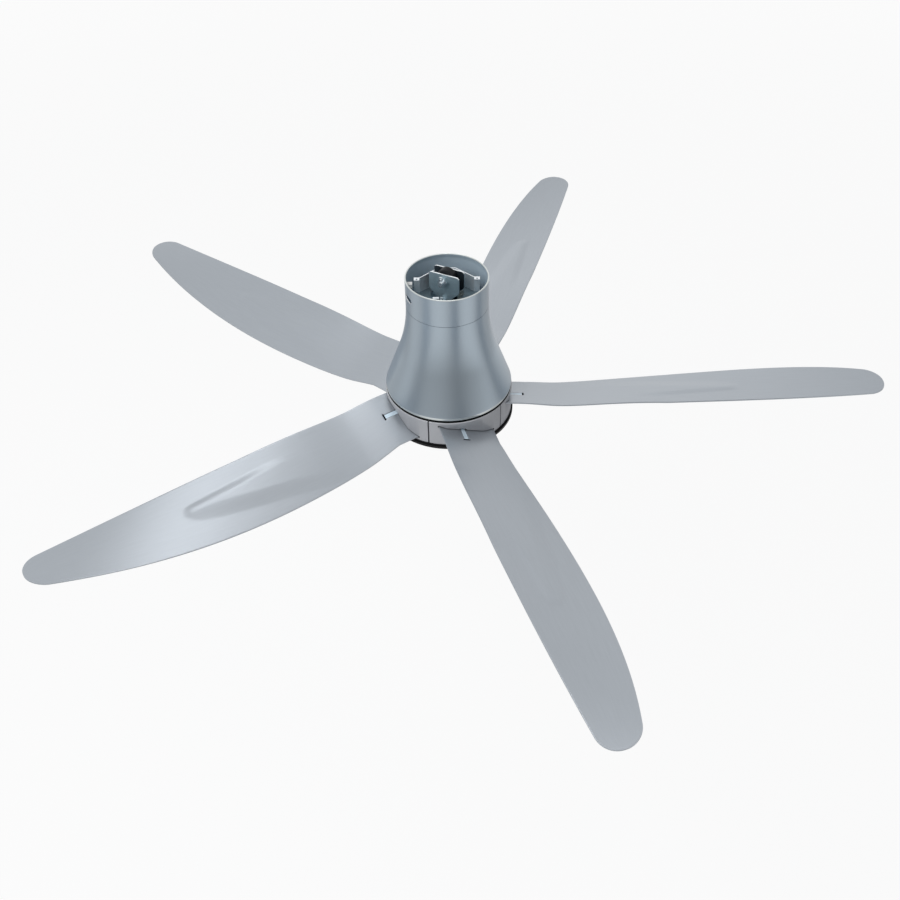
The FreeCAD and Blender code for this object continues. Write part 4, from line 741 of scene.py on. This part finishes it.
def motor_cover():
    """Flared shell: neck, arc, cone and an upright band with a rolled edge, painted lighter as bare metal
    with painted highlight, with a flange inside.
    """
    top = -CANOPY_HEIGHT - SEAM_GAP
    bottom = top - COVER_HEIGHT
    neck = CANOPY_RADIUS - CANOPY_WALL - NECK_GAP
    flare = math.atan(FLARE_STEEPNESS*(FLARE_RADIUS - CANOPY_RADIUS)/COVER_HEIGHT)
    run = COVER_HEIGHT - COVER_EDGE*(1 + math.sin(flare))
    rise = FLARE_RADIUS - COVER_EDGE*(1 - math.cos(flare)) - CANOPY_RADIUS
    radius = (run*math.tan(flare) - rise)*math.cos(flare)/(1 - math.cos(flare))
    centre = (CANOPY_RADIUS + radius, top)
    edge = (FLARE_RADIUS - COVER_EDGE, bottom + COVER_EDGE)
    slope = math.degrees(flare)
    outer = arc(centre, radius, 180, 180 + slope, FLARE_STEPS)
    below = COVER_EDGE*(1 + math.sin(flare)) - EDGE_BAND
    widest = edge[0] + COVER_EDGE*math.cos(flare) + below*math.tan(flare)
    bend_level = bottom + EDGE_BAND - EDGE_BEND*math.tan(flare/2)
    rolled = arc((widest - EDGE_BEND, bend_level), EDGE_BEND, slope, 0, BEND_STEPS)
    rolled += arc((widest - EDGE_ROLL, bottom + EDGE_ROLL), EDGE_ROLL, 0, -90, ROLL_STEPS)
    inner_rolled = arc(edge, COVER_EDGE - CANOPY_WALL, INNER_ROLL_START, slope, INNER_ROLL_STEPS)
    wide = radius + CANOPY_WALL
    shelf = math.degrees(math.asin(CHASSIS_DROP/wide))
    inner = arc(centre, wide, 180 + slope, 180 + shelf, INNER_FLARE_STEPS)
    level = top - CHASSIS_DROP
    section = [(neck, top + NECK_HEIGHT), (neck, top)] + outer
    section += run_down(outer[-1], rolled[0], CONE_STEPS)[1:] + rolled + inner_rolled
    section += run_down(inner_rolled[-1], inner[0], WALL_STEPS)[1:] + inner
    section += [(FLANGE_INNER, level), (FLANGE_INNER, level + FLANGE_THICKNESS),
                (neck - CANOPY_WALL, level + FLANGE_THICKNESS), (neck - CANOPY_WALL, top + NECK_HEIGHT)]
    item = turned_shell("motor_cover_shell", section, "cover_paint")
    # painted highlight: the lower band's lighter bare-metal tone also stands in for its reflection
    mark(item.data, "bare_edge", lambda middle, normal: BAND_BARE_AND_HIGHLIGHT*(middle.z < bottom + EDGE_BAND))
    stand_for(item, "cover_paint", "fixed_frame", "motor_cover")


# Blades


def between(table, where, part):
    """A smooth curve through a table's values, with even slopes at its knots."""
    knots = sorted(table)
    values = [table[knot][part] for knot in knots]
    where = min(max(where, knots[0]), knots[-1])
    step = max(k for k in range(len(knots) - 1) if knots[k] <= where)
    slopes = []
    for k in (step, step + 1):
        low, high = max(k - 1, 0), min(k + 1, len(knots) - 1)
        slopes.append((values[high] - values[low])/(knots[high] - knots[low]))
    span = knots[step + 1] - knots[step]
    t = (where - knots[step])/span
    start = (1 + 2*t)*(1 - t)**2*values[step] + t*(1 - t)**2*span*slopes[0]
    end = t*t*(3 - 2*t)*values[step + 1] + t*t*(t - 1)*span*slopes[1]
    return start + end


def ease(value):
    """A rise from 0 to 1 that starts and ends level."""
    value = min(max(value, 0.0), 1.0)
    return value*value*(3 - 2*value)


def flank(value):
    """A straight slope with eased ends."""
    return (1 - FLANK_EASE)*min(max(value, 0.0), 1.0) + FLANK_EASE*ease(value)


def edge_reach(part, share):
    """An edge's distance from the blade's axis: the one curve through its stations."""
    reach = 0.0
    for knot, values in EDGE_REACH.items():
        weight = math.prod((share - other)/(knot - other) for other in EDGE_REACH if other != knot)
        reach += weight*values[part]
    return reach


def blade_edges(radius):
    """Leading and trailing edge of the blade, seen from above, at a radius."""
    share = max(radius - BLADE_BASE, 0.0)/(BLADE_TIP - BLADE_BASE)
    shoulder = BLADE_TIP - TIP_LENGTH
    full = 1.0
    if radius > shoulder:
        full = max(1 - ((radius - shoulder)/TIP_LENGTH)**TIP_FULLNESS, 0.0)**(1/TIP_FULLNESS)
    lead = TIP_OFFSET - (TIP_OFFSET + edge_reach(0, share))*full
    trail = TIP_OFFSET + (edge_reach(1, share) - TIP_OFFSET)*full
    return lead, trail


def swage_height(radius, chord):
    """Height of the pressed spear above the blade's plain surface."""
    low, high = (between(SWAGE_SIDES, radius, side) for side in (0, 1))
    rise, lead_share = (ease((radius - start)/(end - start)) for start, end in (SWAGE_RISE, LEAD_FLANK_RISE))
    lead = 1 - lead_share*(1 - flank((chord - low)/LEAD_FLANK))
    trail = flank((high - chord)/TRAIL_FLANK)
    nose = SWAGE_NOSE - NOSE_ROUND*((chord - NOSE_CENTRE)/NOSE_HALF)**2
    return SWAGE_HEIGHT*rise*lead*trail*flank((nose - radius)/NOSE_FLANK)


def blade_point(radius, across):
    """A point of the blade's middle surface, given as radius and distance across, seen from above."""
    pitch = math.radians(between(BLADE_STATIONS, radius, 1))
    level = BLADE_SEAT + between(BLADE_STATIONS, radius, 0) - across*math.tan(pitch)
    height = swage_height(radius, across/math.cos(pitch))
    return radius, across + height*math.sin(pitch), level + height*math.cos(pitch)


def blade_rows():
    """Radii of the blade's rows: the root with its slot, the long plate and the rounded tip."""
    rows = [ROOT_START, *ROOT_ROWS, SLOT_END - CROSS_WIDTH, SLOT_END, BLADE_BASE]
    shoulder = BLADE_TIP - TIP_LENGTH
    rows += [BLADE_BASE + (shoulder - BLADE_BASE)*step/PLATE_ROWS for step in range(1, PLATE_ROWS + 1)]
    rows += [shoulder + TIP_LENGTH*math.sin(math.pi/2*step/TIP_ROWS) for step in range(1, TIP_ROWS + 1)]
    return rows


def blade_columns():
    """Shares of the blade's width for its columns, with a column on each side of the lock slot."""
    lead, trail = EDGE_REACH[0.0]
    tilt = math.cos(math.radians(BLADE_STATIONS[ROOT_START][1]))
    marks = sorted((side*tilt + lead)/(lead + trail) for side in SLOT_SIDES + CROSS_SIDES)
    columns = [marks[0]*step/LEAD_COLUMNS for step in range(LEAD_COLUMNS)] + marks[:2]
    columns += [(marks[1] + marks[2])/2] + marks[2:]
    columns += [marks[3] + (1 - marks[3])*step/TRAIL_COLUMNS for step in range(1, TRAIL_COLUMNS + 1)]
    return columns, marks


def one_blade():
    """The blade along X: a thin twisted plate with its spear, its lock slot and eased edges."""
    rows = blade_rows()
    columns, marks = blade_columns()
    points, faces = [], []
    for radius in rows:
        lead, trail = blade_edges(radius)
        points += [blade_point(radius, lead + (trail - lead)*share) for share in columns]
    width = len(columns)
    for row in range(len(rows) - 1):
        for column in range(width - 1):
            middle = (columns[column] + columns[column + 1])/2
            in_slot = rows[row] < SLOT_END and marks[1] < middle < marks[2]
            in_cross = SLOT_END - CROSS_WIDTH <= rows[row] < SLOT_END and marks[0] < middle < marks[3]
            if not (in_slot or in_cross):
                first = row*width + column
                faces.append((first, first + width, first + width + 1, first + 1))
    mesh = new_mesh("blade_plate", points, [], faces)
    layer = mesh.uv_layers.new(name="UVMap")
    for loop in mesh.loops:
        row, column = divmod(loop.vertex_index, width)
        layer.data[loop.index].uv = (rows[row]*MM, columns[column]*BLADE_UV_WIDTH)
    face_outwards(mesh, FINE_WELD)
    mesh.shade_smooth()
    item = new_object("blade_set", mesh)
    plate = item.modifiers.new("plate", "SOLIDIFY")
    plate.thickness = BLADE_THICKNESS*MM
    plate.offset = 0.0
    plate.use_even_offset = True
    ease_edges(item, EASED_BLADE, BLADE_CRISP_ANGLE)
    return settle(item)


def blades():
    """The five blades, all on the rotor."""
    item = one_blade()
    apply_tree(item, ROUND_THE_AXIS, Count=BLADE_COUNT, Phase=math.radians(BLADE_PHASE),
               Finish=LOOKS["silver_coat"])
    smooth(item.data, BLADE_CRISP_ANGLE)
    stand_for(item, "silver_coat", "rotor", *[f"blade_{number + 1}" for number in range(BLADE_COUNT)])


# Ring segments, locks and hanger


def blade_turn(number):
    """Compass angle of a blade."""
    return math.radians(BLADE_PHASE + 360.0/BLADE_COUNT*(number - 1))


def over_root(place, number):
    """Height of a place over the middle of a blade's root, square to the blade."""
    turned = Matrix.Rotation(-blade_turn(number), 3, "Z") @ place
    pitch = math.radians(BLADE_STATIONS[ROOT_START][1])
    return (turned.z - BLADE_SEAT)*math.cos(pitch) + turned.y*math.sin(pitch)


def holder(number):
    """A ring segment; the mouth round the blade's root is a little wider, with a notch at the lock."""
    tilt = math.radians(BLADE_STATIONS[ROOT_START][1])
    turn = Matrix.Rotation(blade_turn(number), 4, "Z")
    place = turn @ Matrix.Translation((0, 0, BLADE_SEAT*MM)) @ Matrix.Rotation(-tilt, 4, "X")
    lead, trail = EDGE_REACH[0.0]
    floor, wall = HOLDER_RADIUS - ROOT_OPENING_DEPTH, HOLDER_RADIUS + ROOT_OPENING_DEPTH
    bottom, top = -BLADE_THICKNESS/2 - ROOT_OPENING_GAP/2, BLADE_THICKNESS/2 + ROOT_OPENING_GAP
    first, last = (-lead - ROOT_OPENING_SIDE)/math.cos(tilt), (trail + ROOT_OPENING_SIDE)/math.cos(tilt)
    spans = {
        # piece that is cut: its two sides, its lower and upper level
        "root_cutter": (first, last, bottom, top),
        "lock_cutter": (*CROSS_SIDES, 0.0, LOCK_NOTCH),
    }
    cutters = []
    for name, (first, last, low, high) in spans.items():
        sides = [first + (last - first)*step/MOUTH_STEPS for step in range(MOUTH_STEPS + 1)]
        outline = [(math.sqrt(floor**2 - (side*math.cos(tilt))**2), side) for side in sides]
        cutters.append(prism(name, outline + [(wall, last), (wall, first)], (low, high), place))
    mesh = eased(f"blade_holder_{number}", EASED_HOLDER, cutters)
    # painted shade: the cut faces of the blade's mouth and of the lock notch are painted near black
    mark(mesh, "cut_edge", lambda middle, normal: -top < over_root(middle, number) < LOCK_NOTCH + NOTCH_SLACK
         and middle.xy.length < HOLDER_RADIUS - MOUTH_LEDGE)


def lock(number):
    """A blade lock: satin with a painted bluish-white reflection where it stands above its blade, painted
    shade on its upper faces below it.
    """
    split = BLADE_THICKNESS/4
    mesh = eased(f"blade_lock_{number}", EASED_LOCK)
    # painted shade on the upper faces below the blade; painted bluish-white reflection on the tongue above
    # it
    mark(mesh, "inner_face", lambda middle, normal: over_root(middle, number) < split and normal.z > -TURNED)
    mark(mesh, "bare_edge", lambda middle, normal: over_root(middle, number) >= split)


def hanger():
    """Plates and bracket with painted highlight on their upturned sheared edges and the bracket's walls,
    painted shade between the plates and on the bracket's floor.
    """
    for node in ("hanger_plate_front", "hanger_plate_rear"):
        sheet = eased(node)
        # painted highlight on the upturned sheared edges near the top
        mark(sheet, "bare_edge", lambda middle, normal: normal.z > TURNED and middle.z > -HIGHLIGHT_DEPTH)
        # painted shade on the inner faces between the plates
        mark(sheet, "inner_face", lambda middle, normal: abs(middle.y) < PLATE_INNER
             and abs(normal.y) > SQUARE)
    pan = eased("canopy_bracket")
    # painted highlight on the bracket's upturned edges, painted light on its upright walls
    mark(pan, "bare_edge", lambda middle, normal: 1.0 if normal.z > TURNED and middle.z > -HIGHLIGHT_DEPTH
         else WALL_PAINTED_HIGHLIGHT*(abs(normal.z) < TURNED))
    # painted shade on the bracket's floor
    mark(pan, "inner_face", lambda middle, normal: FLOOR_PAINTED_SHADE*(
         normal.z > SQUARE and middle.z < BRACKET_FLOOR + FLOOR_SLACK))


# Stage


def along(tree, place, way):
    """How far a place or direction lies along a level way."""
    return add(tree, "ShaderNodeVectorMath", {0: place, 1: way}, operation="DOT_PRODUCT").outputs["Value"]


def distance(tree, place):
    """How far a place lies from the fan."""
    return add(tree, "ShaderNodeVectorMath", {0: place}, operation="LENGTH").outputs["Value"]


def ramp(tree, value, start, end, low, high):
    """A soft rise or fall of a value from one level to another."""
    return add(tree, "ShaderNodeMapRange", {0: value, 1: start, 2: end, 3: low, 4: high},
               interpolation_type="SMOOTHSTEP").outputs[0]


def white_seen(tree, dimmed):
    """Where the white stage shows as such, and how strongly: 1 to the camera, dimmed in reflections."""
    path = add(tree, "ShaderNodeLightPath").outputs
    direct = calculate(tree, "MAXIMUM", path["Is Camera Ray"], path["Is Transmission Ray"])
    seen = calculate(tree, "MAXIMUM", direct, path["Is Glossy Ray"])
    return seen, calculate(tree, "MAXIMUM", direct, dimmed)


def light_bands(tree, ahead, right):
    """Wide soft lights before the fan, as a wave over the compass: 1 at a light, -1 between two."""
    compass = calculate(tree, "ARCTAN2", right, calculate(tree, "MULTIPLY", ahead, -1.0))
    phase = calculate(tree, "MULTIPLY_ADD", compass, LIGHT_COUNT, LIGHT_COUNT*LIGHT_TURN)
    off_light = calculate(tree, "MULTIPLY_ADD", calculate(tree, "COSINE", phase), -0.5, 0.5)
    off_light = calculate(tree, "POWER", off_light, LIGHT_FULLNESS)
    return calculate(tree, "MULTIPLY_ADD", off_light, -2.0, 1.0)


def sky_strength(tree, way):
    """The surroundings in reflections: bright behind the fan, dark low behind the camera, soft above."""
    ahead, right = along(tree, way, AHEAD), along(tree, way, RIGHT)
    height = add(tree, "ShaderNodeSeparateXYZ", {0: way}).outputs["Z"]
    low = calculate(tree, "MULTIPLY_ADD", right, SKY_SLANT, ramp(tree, ahead, *SKY_LOW))
    lights = ramp(tree, ahead, *SKY_LIGHTS)
    low = calculate(tree, "MULTIPLY_ADD", light_bands(tree, ahead, right), lights, low)
    back = calculate(tree, "MAXIMUM", calculate(tree, "MULTIPLY", ahead, -1.0), 0.0)
    high = calculate(tree, "MULTIPLY_ADD", back, SKY_OVER_CAMERA, ramp(tree, height, *SKY_HIGH))
    share = ramp(tree, height, *SKY_CHANGE)
    return calculate(tree, "MULTIPLY_ADD", calculate(tree, "SUBTRACT", high, low), share, low)


def floor_strength(tree, place):
    """The floor in reflections, a painted glow: bright before the fan, with painted bands of light round it,
    and bright far behind it.
    """
    ahead, right = along(tree, place, AHEAD), along(tree, place, RIGHT)
    lights = calculate(tree, "MULTIPLY", ramp(tree, distance(tree, place), *FLOOR_LIGHTS),
                       ramp(tree, ahead, *FLOOR_LIGHTS_END))
    front = calculate(tree, "MULTIPLY_ADD", light_bands(tree, ahead, right), lights,
                      ramp(tree, ahead, *FLOOR_FRONT))
    front = calculate(tree, "MULTIPLY", front, ramp(tree, ahead, *FLOOR_DIMMED))
    return calculate(tree, "MAXIMUM", front, ramp(tree, ahead, *FLOOR_BEHIND))


def surroundings():
    """White all round, with more light from the left."""
    world = bpy.data.worlds.new("studio")
    world.use_nodes = True
    bpy.context.scene.world = world
    tree = world.node_tree
    tree.nodes.clear()
    way = add(tree, "ShaderNodeTexCoord").outputs["Generated"]
    seen, strength = white_seen(tree, sky_strength(tree, way))
    room_light = calculate(tree, "MULTIPLY_ADD", along(tree, way, RIGHT), ROOM_SLANT, ROOM_LIGHT)
    soft = add(tree, "ShaderNodeBackground", {"Color": (0.95, 0.97, 1.0, 1.0), "Strength": room_light})
    white = add(tree, "ShaderNodeBackground", {"Color": (1.0, 1.0, 1.0, 1.0), "Strength": strength})
    mixed = add(tree, "ShaderNodeMixShader", {0: seen, 1: soft.outputs[0], 2: white.outputs[0]})
    add(tree, "ShaderNodeOutputWorld", {"Surface": mixed.outputs[0]})


def pale_floor():
    """A pale floor far below the hanging fan, which fades to white far out."""
    pale = bpy.data.materials.new("floor_white")
    pale.use_nodes = True
    tree = pale.node_tree
    tree.nodes.clear()
    place = add(tree, "ShaderNodeNewGeometry").outputs["Position"]
    seen, strength = white_seen(tree, floor_strength(tree, place))
    matt = add(tree, "ShaderNodeBsdfDiffuse", {"Color": (0.86, 0.86, 0.86, 1.0)})
    # painted light: in reflections the floor glows with the bands and bright regions of floor_strength
    glow = add(tree, "ShaderNodeEmission", {"Color": (1.0, 1.0, 1.0, 1.0), "Strength": strength})
    share = calculate(tree, "MULTIPLY", seen, ramp(tree, distance(tree, place), *FLOOR_WHITE))
    mixed = add(tree, "ShaderNodeMixShader", {0: share, 1: matt.outputs[0], 2: glow.outputs[0]})
    add(tree, "ShaderNodeOutputMaterial", {"Surface": mixed.outputs[0]})
    corners = [(x*FLOOR_REACH, y*FLOOR_REACH, FLOOR_LEVEL) for x, y in ((-1, -1), (1, -1), (1, 1), (-1, 1))]
    floor = new_object("floor", new_mesh("floor", corners, [], [(0, 1, 2, 3)]))
    floor.data.materials.append(pale)


def lamp(name, place, size, power, mirrored):
    """A soft square lamp that points at the fan; glossy faces mirror it or only catch its light."""
    light = bpy.data.lights.new(name, "AREA")
    light.shape = "SQUARE"
    light.size = size
    light.energy = power
    item = new_object(name, light)
    item.location = place
    item.visible_glossy = mirrored
    item.rotation_euler = (Vector(LAMP_TARGET) - Vector(place)).to_track_quat("-Z", "Y").to_euler()


def camera():
    """The photograph's view: from the front, looking down on the fan."""
    data = bpy.data.cameras.new("view")
    data.lens = CAMERA_LENS
    data.sensor_width = CAMERA_SENSOR
    item = new_object("view", data)
    turn = Matrix.Rotation(VIEW_TURN, 4, "Z")
    tilt = Matrix.Rotation(math.radians(90.0 - CAMERA_DROP), 4, "X")
    roll = Matrix.Rotation(math.radians(CAMERA_ROLL), 4, "Z")
    item.matrix_world = turn @ Matrix.Translation(CAMERA_PLACE) @ tilt @ roll
    bpy.context.scene.camera = item


for node, solid in frame["nodes"].items():
    solid.data.materials.clear()
    solid.data.materials.append(LOOKS[slot_of(node)])
canopy()
motor_cover()
blades()
hanger()
for node in ("hanger_bolts", "hanger_nuts", "canopy_clip", "bottom_ring", "bottom_cover", "stem_pipe"):
    eased(node)
for node in ("hanger_roller", "split_pins", "bottom_screws"):
    eased(node, EASED_SMALL)
for number in range(1, BLADE_COUNT + 1):
    holder(number)
    lock(number)
surroundings()
pale_floor()
lamp("overhead_lamp", place=(-0.44, 0.40, 1.6), size=0.6, power=2.9, mirrored=True)
lamp("key_lamp", place=(-1.05, -2.1, 2.3), size=2.4, power=52.0, mirrored=False)
camera()
bpy.context.scene.view_settings.view_transform = "Standard"
